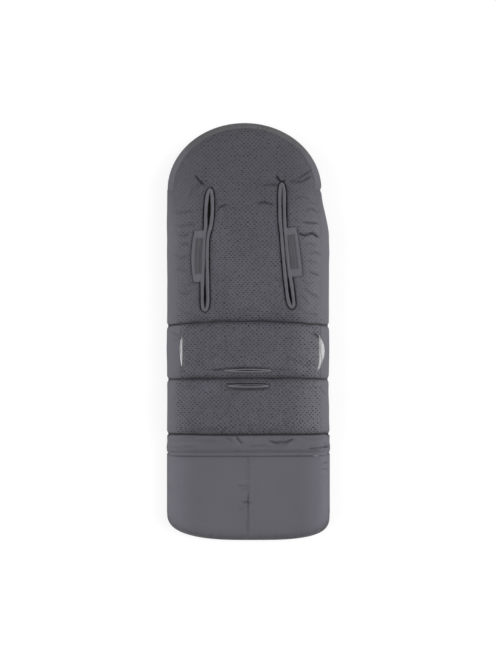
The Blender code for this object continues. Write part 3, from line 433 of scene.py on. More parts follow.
def section_masks(to_seat, to_knee):
    """Which places lie in each section of the back."""
    return {"upper": to_seat > 0, "seat": (to_seat <= 0) & (to_knee > 0), "leg": to_knee <= 0}


def panel_distance(x, y, side):
    """How far a place lies from the dotted cloth's edge."""
    return np.abs(x - panel_edge(np.minimum(y, SPRING_Y), side))


def seam_drop(distance, x):
    """How far the padding falls towards a cross seam."""
    broad = BROAD_DROP * (1 - swell(distance, BROAD_REACH))
    reach = TIGHT_REACH * (1 + 0.45 * line_noise(x, 0.045, 151))
    return broad + TIGHT_DROP * (1 - quarter(distance, reach))


def binding_relief(x, y):
    """Valley beside the harness slots' piping, with gathers that run out of it."""
    total = np.zeros(np.shape(x))
    for number, loop in enumerate(HARNESS_LOOPS.values()):
        closed = loop + loop[:1]
        away, share, _ = line_distance(x, y, closed)
        wave = np.sin(share * 330 + 7 * value_noise(x, y, 0.03, 155 + number))
        strength = 0.5 + 0.5 * value_noise(x, y, 0.024, 159)
        total -= BINDING_GROOVE * bell(away, BINDING_REACH)
        total += 0.00035 * wave * strength * bell(away - 0.011, 0.006)
    for loop in CROTCH_LOOPS.values():
        away, _, _ = line_distance(x, y, loop + loop[:1])
        total -= 0.0012 * bell(away, 0.0045)
    return total


def puckers(x, distance, seed):
    """Small gathers that run out of a stitched seam."""
    wave = np.sin(x * 620 + 3 * line_noise(x, 0.045, seed))
    strength = 0.5 + 0.5 * value_noise(x, x * 0 + seed, 0.030, seed + 1)
    return 0.0007 * wave * strength * bell(distance - 0.004, 0.008)


def back_height(x, y, section=None):
    """Height of the padded back. A section name keeps to that section's seams."""
    inside = edge_distance(x, y)
    round_share = np.clip(inside / SIDE_ROUND, 0.0, 1.0)
    rise = np.sqrt(1 - (1 - round_share) ** 2)
    height = SIDE_Z + (PAD_TOP - SIDE_Z) * rise
    to_seat, to_knee, near = seam_places(x, y)
    fall = 0.35 + 0.65 * rise
    height -= seam_drop(near, x) * fall
    in_seat = (to_seat < 0) & (to_knee > 0)
    groove = np.where(in_seat, SEAT_PANEL_GROOVE, PANEL_GROOVE)
    for side in (-1, 1):
        height -= groove * bell(panel_distance(x, y, side), PANEL_REACH) * (y < SPRING_Y)
    height += layered(x, y, *BACK_BUMPS) * rise + puckers(x, near, 11) * rise
    height += binding_relief(x, y)
    edge_fade = 1.0
    for side in (-1, 1):
        edge_fade = edge_fade * (1 - 0.8 * bell(panel_distance(x, y, side), 0.0045))
    if section is None:
        for name, inside_part in section_masks(to_seat, to_knee).items():
            height += creases(x, y, SECTION_CREASES[name]) * inside_part * edge_fade
    else:
        height += creases(x, y, SECTION_CREASES[section]) * edge_fade
    return height


# Outlines of the closing tabs in millimetres, for the painted shadows cast round them
TAB_OUTLINES = (
    route((-107, 126), (-134.5, 123.5), (-140.5, 160), (-141, 200), (-138.5, 228), (-132.5, 251.5),
          (-106, 253)),
    route((99.8, 136.5), (136.3, 139.5), (120.4, 261.0), (89, 258)),
)
# Widths of the painted shade of seams and outlines, and the fold depth at which a crease's painted shade
# is full
SEAM_SHADE_WIDTH = 0.0018
CREASE_SHADE_DEPTH = 0.0042
OUTLINE_SHADE_WIDTH = 0.0017


def crease_shade(relief):
    """How dark the painted shade in a fold of the given relief is, from 0 to 1."""
    return 0.68 * np.clip(-relief / CREASE_SHADE_DEPTH, 0, 1) ** 1.7


def painted_fold_shade(x, y):
    """Painted shade of the back, from 0 to 1: in its seams and folds, above the knee seam, and round the
    slots' piping and the closing tabs.
    """
    to_seat, to_knee, near = seam_places(x, y)
    waver = 0.78 + 0.22 * value_noise(x, y, 0.03, 171)
    share = waver * bell(near, SEAM_SHADE_WIDTH * (1 + 0.35 * line_noise(x, 0.04, 173)))
    # Painted shadow above the knee seam, in two stretches across
    knee_shade_spots = bell(x + 0.120, 0.045) + bell(x - 0.100, 0.035)
    share = np.maximum(share, 0.36 * knee_shade_spots * bell(to_knee - 0.003, 0.0050))
    for name, inside_part in section_masks(to_seat, to_knee).items():
        relief = creases(x, y, SECTION_CREASES[name]) * inside_part
        share = np.maximum(share, crease_shade(relief))
    # Painted shadows round the harness slots' piping, beside the crotch slots and round the closing tabs
    uneven = 0.75 + 0.25 * value_noise(x, y, 0.022, 181)
    for loop in HARNESS_LOOPS.values():
        away, _, _ = line_distance(x, y, loop + loop[:1])
        share = np.maximum(share, uneven * bell(away - 0.0054, OUTLINE_SHADE_WIDTH))
    for label, loop in CROTCH_LOOPS.items():
        away, _, _ = line_distance(x, y, loop + loop[:1])
        above = y > sum(place[1] for place in loop) / len(loop)
        line = 0.75 * bell(away - 0.0020, 0.0014) * above
        if label == "lower":
            line = 0.45 * line + 0.42 * bell(away - 0.0034, 0.0030) * (1 - above)
        share = np.maximum(share, line)
    for outline in TAB_OUTLINES:
        away, _, _ = line_distance(x, y, outline)
        share = np.maximum(share, 0.55 * bell(away, 0.0022))
    return share


def paint_fold_shade(made, shares_of_points=None, level=painted_fold_shade):
    """Store on each point the painted shade of the folds and shadows there, for the cloth's colour."""
    count = len(made.data.vertices)
    places = np.zeros(count * 3)
    made.data.vertices.foreach_get("co", places)
    places = places.reshape(-1, 3)
    if shares_of_points is None:
        shares_of_points = level(places[:, 0], places[:, 1])
    layer = made.data.attributes.new("fold", "FLOAT", "POINT")
    layer.data.foreach_set("value", np.clip(shares_of_points, 0, 1).astype(np.float32))
    return made


def bow_band_seam(made):
    """Let the seam above the band hang in a shallow curve."""
    places = np.zeros(len(made.data.vertices) * 3)
    made.data.vertices.foreach_get("co", places)
    places = places.reshape(-1, 3)
    x, y, z = places.T
    bow = BAND_BOW * (x / HALF_WIDTH) ** 2 - BAND_HANG
    bow = bow + 0.0006 * line_noise(x, 0.028, 183)
    y += bow * bell(y - BAND_SEAM_Y, 0.020) * smooth((z - 0.032) / 0.012)
    made.data.vertices.foreach_set("co", places.ravel())
    made.data.update()


def link(made, body=None, made_of=None):
    """Put a piece in the scene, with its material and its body."""
    bpy.context.scene.collection.objects.link(made)
    if made_of is not None:
        made.data.materials.append(made_of)
    if body is not None:
        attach(made, body)
    return made


def mesh_object(name, vertices, faces, weld=0.0):
    """Smooth mesh object with its faces turned outwards."""
    mesh = bpy.data.meshes.new(name)
    mesh.from_pydata([tuple(v) for v in vertices], [], [tuple(f) for f in faces])
    work = bmesh.new()
    work.from_mesh(mesh)
    if weld > 0:
        bmesh.ops.remove_doubles(work, verts=work.verts, dist=weld)
    bmesh.ops.recalc_face_normals(work, faces=work.faces)
    work.to_mesh(mesh)
    work.free()
    mesh.shade_smooth()
    mesh.set_sharp_from_angle(angle=SHARP_ANGLE)
    return bpy.data.objects.new(name, mesh)


def grid_faces(rows, columns, start=0, flip=False):
    index = start + np.arange(rows * columns).reshape(rows, columns)
    faces = np.stack(
        [index[:-1, :-1], index[:-1, 1:], index[1:, 1:], index[1:, :-1]], -1).reshape(-1, 4)
    return faces[:, ::-1].tolist() if flip else faces.tolist()


def rim_indices(rows, columns):
    index = np.arange(rows * columns).reshape(rows, columns)
    return np.concatenate(
        [index[0, :], index[1:, -1], index[-1, -2::-1], index[-2:0:-1, 0]]).tolist()


def solid_from_grid(name, grid, base):
    """Closed body under a grid of points, with a flat base."""
    rows, columns = grid.shape[:2]
    top = grid.reshape(-1, 3)
    rim = rim_indices(rows, columns)
    low = top[rim].copy()
    low[:, 2] = base
    count = len(rim)
    start = len(top)
    faces = grid_faces(rows, columns)
    for step in range(count):
        ahead = (step + 1) % count
        faces.append((rim[step], rim[ahead], start + ahead, start + step))
    faces.append(tuple(start + step for step in range(count)))
    return mesh_object(name, np.vstack([top, low]), faces)


def slab_from_grids(name, upper, lower):
    """Closed body between two grids of points."""
    rows, columns = upper.shape[:2]
    count = rows * columns
    rim = rim_indices(rows, columns)
    faces = grid_faces(rows, columns) + grid_faces(rows, columns, count, True)
    for step in range(len(rim)):
        ahead = (step + 1) % len(rim)
        faces.append((rim[step], rim[ahead], count + rim[ahead], count + rim[step]))
    points = np.vstack([upper.reshape(-1, 3), lower.reshape(-1, 3)])
    return mesh_object(name, points, faces)


def sheet_between(name, x, y, top, low):
    """Closed sheet between two heights over the same places."""
    return slab_from_grids(name, np.dstack([x, y, top]), np.dstack([x, y, low + 0 * x]))


def strip_ring(x, y, top, low):
    """Ring out along the top of a strip and back along its underside."""
    return list(zip(x, y, top)) + list(zip(x[::-1], y[::-1], low[::-1]))


def loft_rings(name, rings, closed=False):
    """Body through rings of equal counts, shape (rings, points, 3)."""
    rings = np.asarray(rings, float)
    rows, count = rings.shape[:2]
    index = np.arange(rows * count).reshape(rows, count)
    beside = np.roll(index, -1, axis=1)
    if closed:
        ahead = np.roll(index, -1, axis=0)
        ahead_beside = np.roll(beside, -1, axis=0)
        faces = np.stack([index, beside, ahead_beside, ahead], -1).reshape(-1, 4).tolist()
    else:
        faces = np.stack(
            [index[:-1], beside[:-1], beside[1:], index[1:]], -1).reshape(-1, 4).tolist()
        faces.append(tuple(index[0].tolist()))
        faces.append(tuple(index[-1, ::-1].tolist()))
    return mesh_object(name, rings.reshape(-1, 3), faces)


def pipe_rings(name, outer, inner):
    """Sleeve between two sets of rings of equal counts, open at both ends."""
    outer = np.asarray(outer, float)
    inner = np.asarray(inner, float)
    rows, count = outer.shape[:2]
    total = rows * count
    index = np.arange(total).reshape(rows, count)
    beside = np.roll(index, -1, 1)
    shell = np.stack([index[:-1], beside[:-1], beside[1:], index[1:]], -1).reshape(-1, 4)
    faces = shell.tolist() + (shell[:, ::-1] + total).tolist()
    for row in (0, rows - 1):
        a, b = index[row], beside[row]
        faces += np.column_stack([a, b, b + total, a + total]).tolist()
    return mesh_object(name, np.vstack([outer.reshape(-1, 3), inner.reshape(-1, 3)]), faces)


def flat_ring(x, y, top, low):
    """Ring of a flat sleeve at y, along its back and round under its front."""
    ring_x = np.concatenate([x, x[-2:0:-1]])
    return ring_x, np.full_like(ring_x, y), np.concatenate([top, low[-2:0:-1]])


def thinner_ring(ring, y, middle, thick):
    """The ring drawn in by the cloth's thickness, most of it up and down."""
    away = (ring - np.array([0.0, y, middle])) * [0.12, 0, 1]
    length = np.linalg.norm(away, axis=1, keepdims=True) + 1e-9
    return ring - away / length * thick


def apply_modifier(made, kind, **settings):
    """Add a modifier and keep its result as the mesh."""
    modifier = made.modifiers.new(kind.lower(), kind)
    for key, value in settings.items():
        setattr(modifier, key, value)
    keep_evaluated(made)
    return made


def keep_evaluated(made):
    """Make the piece's mesh what its modifiers show, and clear them."""
    bpy.context.view_layer.update()
    graph = bpy.context.evaluated_depsgraph_get()
    mesh = bpy.data.meshes.new_from_object(made.evaluated_get(graph))
    made.modifiers.clear()
    made.data = mesh
    return made


def shares(count, ends=0.5):
    """Even steps from 0 to 1, drawn closer together at the ends."""
    even = np.linspace(0, 1, count)
    return (1 - ends) * even + ends * (0.5 - 0.5 * np.cos(np.pi * even))


# Sizes of the padded sections' grids, for the simulation; the looks have twice as many
SECTION_ROWS = {"upper": 124, "seat": 40, "leg": 40}
SECTION_COLUMNS = {"upper": 112, "seat": 84, "leg": 84}


def section_plan(name, rows, columns):
    """Places in plan of a padded section's grid."""
    along = shares(rows, 0.6)[:, None]
    if name == "upper":
        across = crowded(columns, 0.6)[None, :]
    else:
        across = (2 * shares(columns) - 1)[None, :]
    left, right = panel_edge(0.0, -1), panel_edge(0.0, 1)
    x_low = (left + right) / 2 + across * (right - left) / 2
    if name == "upper":
        low = seat_seam(x_low) - SEWN_LAP
        high = SPRING_Y + (HEAD_ARCH - HEAD_ROLL) * np.sqrt(np.maximum(1 - across ** 2, 0))
    elif name == "seat":
        low, high = knee_seam(x_low) - SEWN_LAP, seat_seam(x_low) + SEWN_LAP
    else:
        low, high = band_seam(x_low) + GAP, knee_seam(x_low) + SEWN_LAP
    y = low + (high - low) * along
    held = np.minimum(y, SPRING_Y)
    left = panel_edge(held, -1)
    right = panel_edge(held, 1)
    x = (left + right) / 2 + across * (right - left) / 2
    return x, y


# Cloth simulation of the padded sections
PRESSURE = 4.0
SWELL_CAP = 0.0045
SWELL_FRAMES = 20
SWELL_GROWTH = -0.012


def inflate(name, x, y, z):
    """Swell a section's cloth by simulation and return how each point moved."""
    rows, columns = x.shape
    grid = np.dstack([x, y, z])
    made = solid_from_grid("swell_" + name, grid, PAD_BASE)
    bpy.context.scene.collection.objects.link(made)
    held = made.vertex_groups.new(name="held")
    rim = rim_indices(rows, columns)
    fixed = rim + list(range(rows * columns, len(made.data.vertices)))
    held.add(fixed, 1.0, "REPLACE")
    cloth = made.modifiers.new("cloth", "CLOTH")
    settings = cloth.settings
    settings.quality = 4
    settings.mass = 0.25
    settings.use_pressure = True
    settings.uniform_pressure_force = PRESSURE
    settings.shrink_min = SWELL_GROWTH
    settings.vertex_group_mass = "held"
    settings.effector_weights.gravity = 0.0
    cloth.point_cache.frame_start = 1
    cloth.point_cache.frame_end = SWELL_FRAMES
    scene = bpy.context.scene
    for number in range(1, SWELL_FRAMES + 1):
        scene.frame_set(number)
    graph = bpy.context.evaluated_depsgraph_get()
    evaluated = made.evaluated_get(graph).data
    moved = np.zeros(len(evaluated.vertices) * 3)
    evaluated.vertices.foreach_get("co", moved)
    moved = moved.reshape(-1, 3)[:rows * columns].reshape(rows, columns, 3) - grid
    bpy.data.objects.remove(made)
    scene.frame_set(1)
    length = np.linalg.norm(moved, axis=2, keepdims=True) + 1e-9
    return moved * (SWELL_CAP * np.tanh(length / SWELL_CAP) / length)


def doubled(values, axis):
    """Put a smoothly interpolated point between each two."""
    moved = np.moveaxis(values, axis, 0)
    before = np.concatenate([moved[:1], moved[:-2]])
    after = np.concatenate([moved[2:], moved[-1:]])
    middle = (9 * (moved[:-1] + moved[1:]) - before - after) / 16
    made = np.empty((2 * len(moved) - 1, *moved.shape[1:]))
    made[0::2] = moved
    made[1::2] = middle
    return np.moveaxis(made, 0, axis)


def pad_grid(name):
    """Top surface of a padded section, swollen by simulation."""
    rows, columns = SECTION_ROWS[name], SECTION_COLUMNS[name]
    x, y = section_plan(name, 2 * rows - 1, 2 * columns - 1)
    z = back_height(x, y, name)
    grid = np.dstack([x, y, z])
    near_x, near_y = x[::2, ::2], y[::2, ::2]
    smooth_z = np.maximum(z[::2, ::2], PAD_BASE + 0.006)
    moved = inflate(name, near_x, near_y, smooth_z)
    grid += doubled(doubled(moved, 0), 1)
    return grid


PAD_GRIDS = {name: pad_grid(name) for name in SECTION_ROWS}


def surface_tree():
    """Search tree over the tops of the padded sections."""
    points = []
    faces = []
    for grid in PAD_GRIDS.values():
        rows, columns = grid.shape[:2]
        faces += grid_faces(rows, columns, len(points))
        points += grid.reshape(-1, 3).tolist()
    return BVHTree.FromPolygons(points, faces)


SURFACE = surface_tree()
DOWN = Vector((0, 0, -1))
RAY_START_Z = 0.2


def hit_height(tree, x, y, missed):
    """Height at which a ray straight down meets the tree, or the value for a miss."""
    hit = tree.ray_cast(Vector((x, y, RAY_START_Z)), DOWN)[0]
    return hit.z if hit is not None else missed


def surface_z(x, y):
    """Height of the padded top at a place, or of its rolled edge beside it."""
    height = hit_height(SURFACE, x, y, None)
    return height if height is not None else float(back_height(np.array(x), np.array(y)))


def surface_grid(x, y, passes):
    """Heights of the padded top over a grid of places, smoothed a little."""
    heights = np.array([surface_z(a, b) for a, b in zip(x.ravel(), y.ravel())]).reshape(x.shape)
    for _ in range(passes):
        padded = np.pad(heights, 1, mode="edge")
        heights = (padded[1:-1, 1:-1] * 2 + padded[:-2, 1:-1] + padded[2:, 1:-1]
                   + padded[1:-1, :-2] + padded[1:-1, 2:]) / 6
    return heights


SLOT_SPACING = 0.003
# Heights between which slots are cut: through the pads, and through the lining
PAD_CUT = (0.0, 0.2)
LINING_CUT = (0.02, 0.04)


def smooth_route(points, spacing, closed=False):
    """Points at even spacing on a smooth curve through the given ones."""
    given = [np.array(point, float) for point in points]
    count = len(given)
    fine = []
    last = count if closed else count - 1
    for step in range(last):
        if closed:
            a, b, c, d = (given[(step + k) % count] for k in (-1, 0, 1, 2))
        else:
            a, b, c, d = (given[min(max(step + k, 0), count - 1)] for k in (-1, 0, 1, 2))
        for t in np.linspace(0, 1, 16, endpoint=False):
            fine.append(0.5 * (2 * b + (c - a) * t + (2 * a - 5 * b + 4 * c - d) * t ** 2
                               + (3 * b - a - 3 * c + d) * t ** 3))
    if not closed:
        fine.append(given[-1])
    fine = np.array(fine)
    ring = np.vstack([fine, fine[:1]]) if closed else fine
    steps = np.linalg.norm(np.diff(ring, axis=0), axis=1)
    reach = np.concatenate([[0], np.cumsum(steps)])
    number = max(int(round(reach[-1] / spacing)), 4)
    wanted = np.linspace(0, reach[-1], number, endpoint=not closed)
    return np.column_stack([np.interp(wanted, reach, ring[:, k]) for k in range(ring.shape[1])])


def route_normals(points, closed=False):
    """Directions ahead and to the right of a flat route."""
    if closed:
        ahead = np.roll(points, -1, 0) - np.roll(points, 1, 0)
    else:
        ahead = np.gradient(points, axis=0)
    ahead = ahead[:, :2] / np.linalg.norm(ahead[:, :2], axis=1, keepdims=True)
    return ahead, np.column_stack([ahead[:, 1], -ahead[:, 0]])


def offset_loop(points, reach):
    """The loop moved outwards, away from its inside."""
    _, right = route_normals(points, True)
    area = np.sum(points[:, 0] * np.roll(points[:, 1], -1) - np.roll(points[:, 0], -1) * points[:, 1])
    out = right if area > 0 else -right
    return points[:, :2] + out * reach, out


def slot_outline(loop, reach):
    """Even points round a slot, moved outwards by the reach."""
    return offset_loop(smooth_route(loop, SLOT_SPACING, True), reach)[0]


def cutter_from_loop(name, loop, low, high):
    """Upright body with the loop as its outline, to cut with."""
    rings = [[(x, y, level) for x, y in loop] for level in (low, high)]
    return loft_rings(name, rings)


def cut_with(made, cutters):
    """Cut each body out of the piece."""
    for cutter in cutters:
        bpy.context.scene.collection.objects.link(cutter)
        modifier = made.modifiers.new("cut", "BOOLEAN")
        modifier.operation = "DIFFERENCE"
        modifier.solver = "EXACT"
        modifier.object = cutter
    keep_evaluated(made)
    for cutter in cutters:
        bpy.data.objects.remove(cutter)
    made.data.set_sharp_from_angle(angle=SHARP_ANGLE)
    return made


# Points along and round a binding, how many heights are averaged, and half the web
WELT_SPACING = 0.0026
WELT_STEPS = 13
WELT_SMOOTHING = 9
WEB_HALF = 0.0006


def binding_loop(name, loop, width, rise, lift):
    """Piped binding round a slot: a rounded welt on a thin web of cloth."""
    points = smooth_route(loop, WELT_SPACING, True)
    outer, out = offset_loop(points, 0.0)
    angles = np.radians(np.linspace(-55, 235, WELT_STEPS))
    heights = np.array([surface_z(x, y) for x, y in outer])
    reach = WELT_SMOOTHING
    kernel = np.ones(reach) / reach
    heights = np.convolve(np.concatenate([heights[-reach:], heights, heights[:reach]]),
                          kernel, "same")[reach:-reach]
    along = np.arange(len(outer))
    wobble = 1 + 0.07 * np.sin(along * 0.23) + 0.05 * np.sin(along * 0.71 + 1)
    rings = []
    # Painted shade on the welt's sides and underside, stored as each point's fold value
    welt_side_shade = np.concatenate([[1.0], smooth((0.55 - np.sin(angles)) / 0.75), [1.0]])
    for (x, y), (ox, oy), height, wave in zip(outer, out, heights, wobble):
        ring = [(x + ox * WEB_HALF, y + oy * WEB_HALF, LINING_TOP)]
        for angle in angles:
            across = width / 2 * math.cos(angle) * wave
            ring.append((x + ox * across, y + oy * across,
                         height + lift + rise / 2 * math.sin(angle)))
        ring.append((x - ox * WEB_HALF, y - oy * WEB_HALF, LINING_TOP))
        rings.append(ring)
    return paint_fold_shade(loft_rings(name, rings, True), np.tile(welt_side_shade, len(rings)))


# Colours, as linear values
DOTTED = (0.1070, 0.1036, 0.1252)
DOT = (0.0040, 0.0038, 0.0060)
PLAIN = (0.1040, 0.1010, 0.1200)
# Painted light: the lighter tone the dotted cloth takes towards its sides
SIDE = (0.1600, 0.1560, 0.1780)
HEM = (0.1000, 0.1000, 0.1080)
RIM_LOW = (0.1260, 0.1230, 0.1440)
BINDING = (0.0990, 0.0965, 0.1140)
# Painted highlight: a lighter tone of the binding cloth for the crotch slots' lips
LIP_HIGHLIGHT = (0.1900, 0.1870, 0.2080)
# Painted shade: darker cloth for the stitched patch of the tabs
TAB_PATCH_SHADE = (0.0640, 0.0625, 0.0740)
FLEECE = (0.6600, 0.6600, 0.6700)
THREAD = (0.0850, 0.0840, 0.0950)
ZIP_TEETH = (0.0250, 0.0250, 0.0290)
ZIP_TAPE = (0.0700, 0.0690, 0.0800)
METAL = (0.0550, 0.0550, 0.0600)
TAPE = (0.0500, 0.0500, 0.0560)
FLOOR = (0.3000, 0.3000, 0.3000)
FLOOR_GLOW = (0.7800, 0.7800, 0.7800)


class Shader:
    """A material's node tree, with short calls for the nodes used here."""

    def __init__(self, name, roughness=0.7, **sockets):
        self.material = bpy.data.materials.new(name)
        self.material.use_nodes = True
        self.tree = self.material.node_tree
        self.shader = self.tree.nodes["Principled BSDF"]
        self.shader.inputs["Roughness"].default_value = roughness
        for label, value in sockets.items():
            self.shader.inputs[label.replace("_", " ")].default_value = value
        place = self.tree.nodes.new("ShaderNodeTexCoord")
        self.place = place.outputs["Object"]

    def put(self, target, value):
        if isinstance(value, bpy.types.NodeSocket):
            self.tree.links.new(value, target)
        else:
            target.default_value = value

    def math(self, operation, first, second=0.0, third=0.0):
        node = self.tree.nodes.new("ShaderNodeMath")
        node.operation = operation
        for target, value in zip(node.inputs, (first, second, third)):
            self.put(target, value)
        return node.outputs[0]

    def times(self, first, second):
        return self.math("MULTIPLY", first, second)

    def plus(self, first, second):
        return self.math("ADD", first, second)

    def less(self, first, second):
        return self.math("SUBTRACT", first, second)

    def tones(self, share, colour, low, high):
        """Two tints of a colour, mixed by a share that swings round its middle."""
        return self.mix(self.span(share, 0.3, 0.7), tinted(colour, low), tinted(colour, high))

    def both(self, slow, fast, share):
        """Two noises added by their shares."""
        return self.plus(self.times(slow, share), self.times(fast, 1 - share))

    def dot(self, direction):
        """Coordinate of the place along a direction."""
        node = self.tree.nodes.new("ShaderNodeVectorMath")
        node.operation = "DOT_PRODUCT"
        self.put(node.inputs[0], self.place)
        self.put(node.inputs[1], direction)
        return node.outputs["Value"]

    def noise(self, scale, detail=3.0, stretch=None, roughness=0.55):
        node = self.tree.nodes.new("ShaderNodeTexNoise")
        node.inputs["Scale"].default_value = scale
        node.inputs["Detail"].default_value = detail
        node.inputs["Roughness"].default_value = roughness
        source = self.place
        if stretch is not None:
            mapping = self.tree.nodes.new("ShaderNodeMapping")
            mapping.inputs["Scale"].default_value = stretch
            self.put(mapping.inputs["Vector"], self.place)
            source = mapping.outputs["Vector"]
        self.put(node.inputs["Vector"], source)
        return node.outputs["Fac"]

    def span(self, value, low, high, to_low=0.0, to_high=1.0):
        """Map a value from one range to another, held at its ends."""
        node = self.tree.nodes.new("ShaderNodeMapRange")
        node.interpolation_type = "SMOOTHSTEP"
        for target, number in zip(node.inputs, (value, low, high, to_low, to_high)):
            self.put(target, number)
        return node.outputs[0]

    def mix(self, share, first, second):
        node = self.tree.nodes.new("ShaderNodeMix")
        node.data_type = "RGBA"
        self.put(node.inputs["Factor"], share)
        sockets = [socket for socket in node.inputs if socket.type == "RGBA"]
        for target, value in zip(sockets, (first, second)):
            self.put(target, value if isinstance(value, bpy.types.NodeSocket) else (*value, 1.0))
        return [socket for socket in node.outputs if socket.type == "RGBA"][0]

    def bump(self, height, distance, strength=1.0, below=None):
        node = self.tree.nodes.new("ShaderNodeBump")
        node.inputs["Strength"].default_value = strength
        node.inputs["Distance"].default_value = distance
        self.put(node.inputs["Height"], height)
        if below is not None:
            self.put(node.inputs["Normal"], below)
        return node.outputs["Normal"]

    def weave(self, pitch, slant=0.0):
        """Height of a plain weave of crossed threads."""
        turn = math.tau / pitch
        c, s = math.cos(slant), math.sin(slant)
        first = self.math("SINE", self.dot((turn * c, turn * s, turn * 0.7)))
        second = self.math("SINE", self.dot((-turn * s, turn * c, turn * 0.7)))
        return self.times(first, second)

    def wear(self, low=0.52, high=0.62):
        """Share that grows on edges that stand out."""
        node = self.tree.nodes.new("ShaderNodeNewGeometry")
        return self.span(node.outputs["Pointiness"], low, high)

    def folded(self, colour, dark):
        """Colour with painted shade in the folds and shadows stored in the points' fold attribute."""
        layer = self.tree.nodes.new("ShaderNodeAttribute")
        layer.attribute_name = "fold"
        return self.mix(self.times(layer.outputs["Fac"], 0.95), colour, dark)

    def finish(self, colour, normal=None, roughness=None):
        self.put(self.shader.inputs["Base Color"], colour)
        if normal is not None:
            self.put(self.shader.inputs["Normal"], normal)
        if roughness is not None:
            self.put(self.shader.inputs["Roughness"], roughness)
        return self.material


def tinted(colour, share):
    """The colour times a share, darker or lighter."""
    return tuple(value * share for value in colour)


def plain_cloth(name, colour, roughness=0.62, weave=0.0009, sheen=0.28, spread=0.10, below=None):
    """Smooth woven cloth with soft changes of tone and small creases, painted light towards its sides and
    painted shade in its folds.

    below names two places along Y and the colour that shows under the first.
    """
    made = Shader(name, roughness, Sheen_Weight=sheen, Sheen_Roughness=0.35)
    made.put(made.shader.inputs["Specular IOR Level"], 0.32)
    slow = made.noise(9.0, 2.0)
    patch = made.noise(38.0, 4.0)
    share = made.both(slow, patch, 0.65)
    tone = made.tones(share, colour, 1 - spread, 1 + spread)
    # Painted light: the cloth grows lighter towards both sides
    reach = made.math("ABSOLUTE", made.dot((1.0, 0.0, 0.0)))
    tone = made.mix(made.span(reach, 0.125, 0.205), tone, tinted(colour, 1.36))
    if below is not None:
        along = made.dot((0.0, 1.0, 0.0))
        tone = made.mix(made.span(along, below[0], below[1]), below[2], tone)
    worn = made.mix(made.times(made.wear(), 0.25), tone, tinted(colour, 1.45))
    # Painted shade in the folds
    worn = made.folded(worn, tinted(colour, 0.10))
    threads = made.weave(weave)
    fine = made.noise(420.0, 3.0, (1.0, 0.35, 1.0))
    normal = made.bump(made.noise(70.0, 5.0, (1.0, 1.8, 1.0)), 0.0016, 0.35)
    normal = made.bump(fine, 0.0004, 0.35, normal)
    normal = made.bump(threads, 0.00012, 0.5, normal)
    return made.finish(worn, normal, made.span(patch, 0.25, 0.75, roughness - 0.07, roughness + 0.07))


# Lattice of the anti-slip dots: pitch in a row, pitch of two rows, and a dot's radius
DOT_PITCH_X = 0.0105
DOT_PITCH_Y = 0.0103
DOT_RADIUS = 0.0020
# How far the dots wander, in cells, and how much of them is left where they are faded or worn
DOT_DRIFT = 0.6
DOT_FINE_DRIFT = 1.1
DOT_FADED = 0.35
DOT_WORN = 0.42
GRAIN_SHARE = 0.34
# Painted light towards the sides, more on the right, and darker tone towards the head
SIDE_LIGHT_SHIFT = 0.018
SIDE_LIGHT_REACH = (0.108, 0.200)
HEAD_TONE_REACH = (0.22, 0.44)
HEAD_TONE_SHARE = 0.75
HEAD_TONE = 0.74


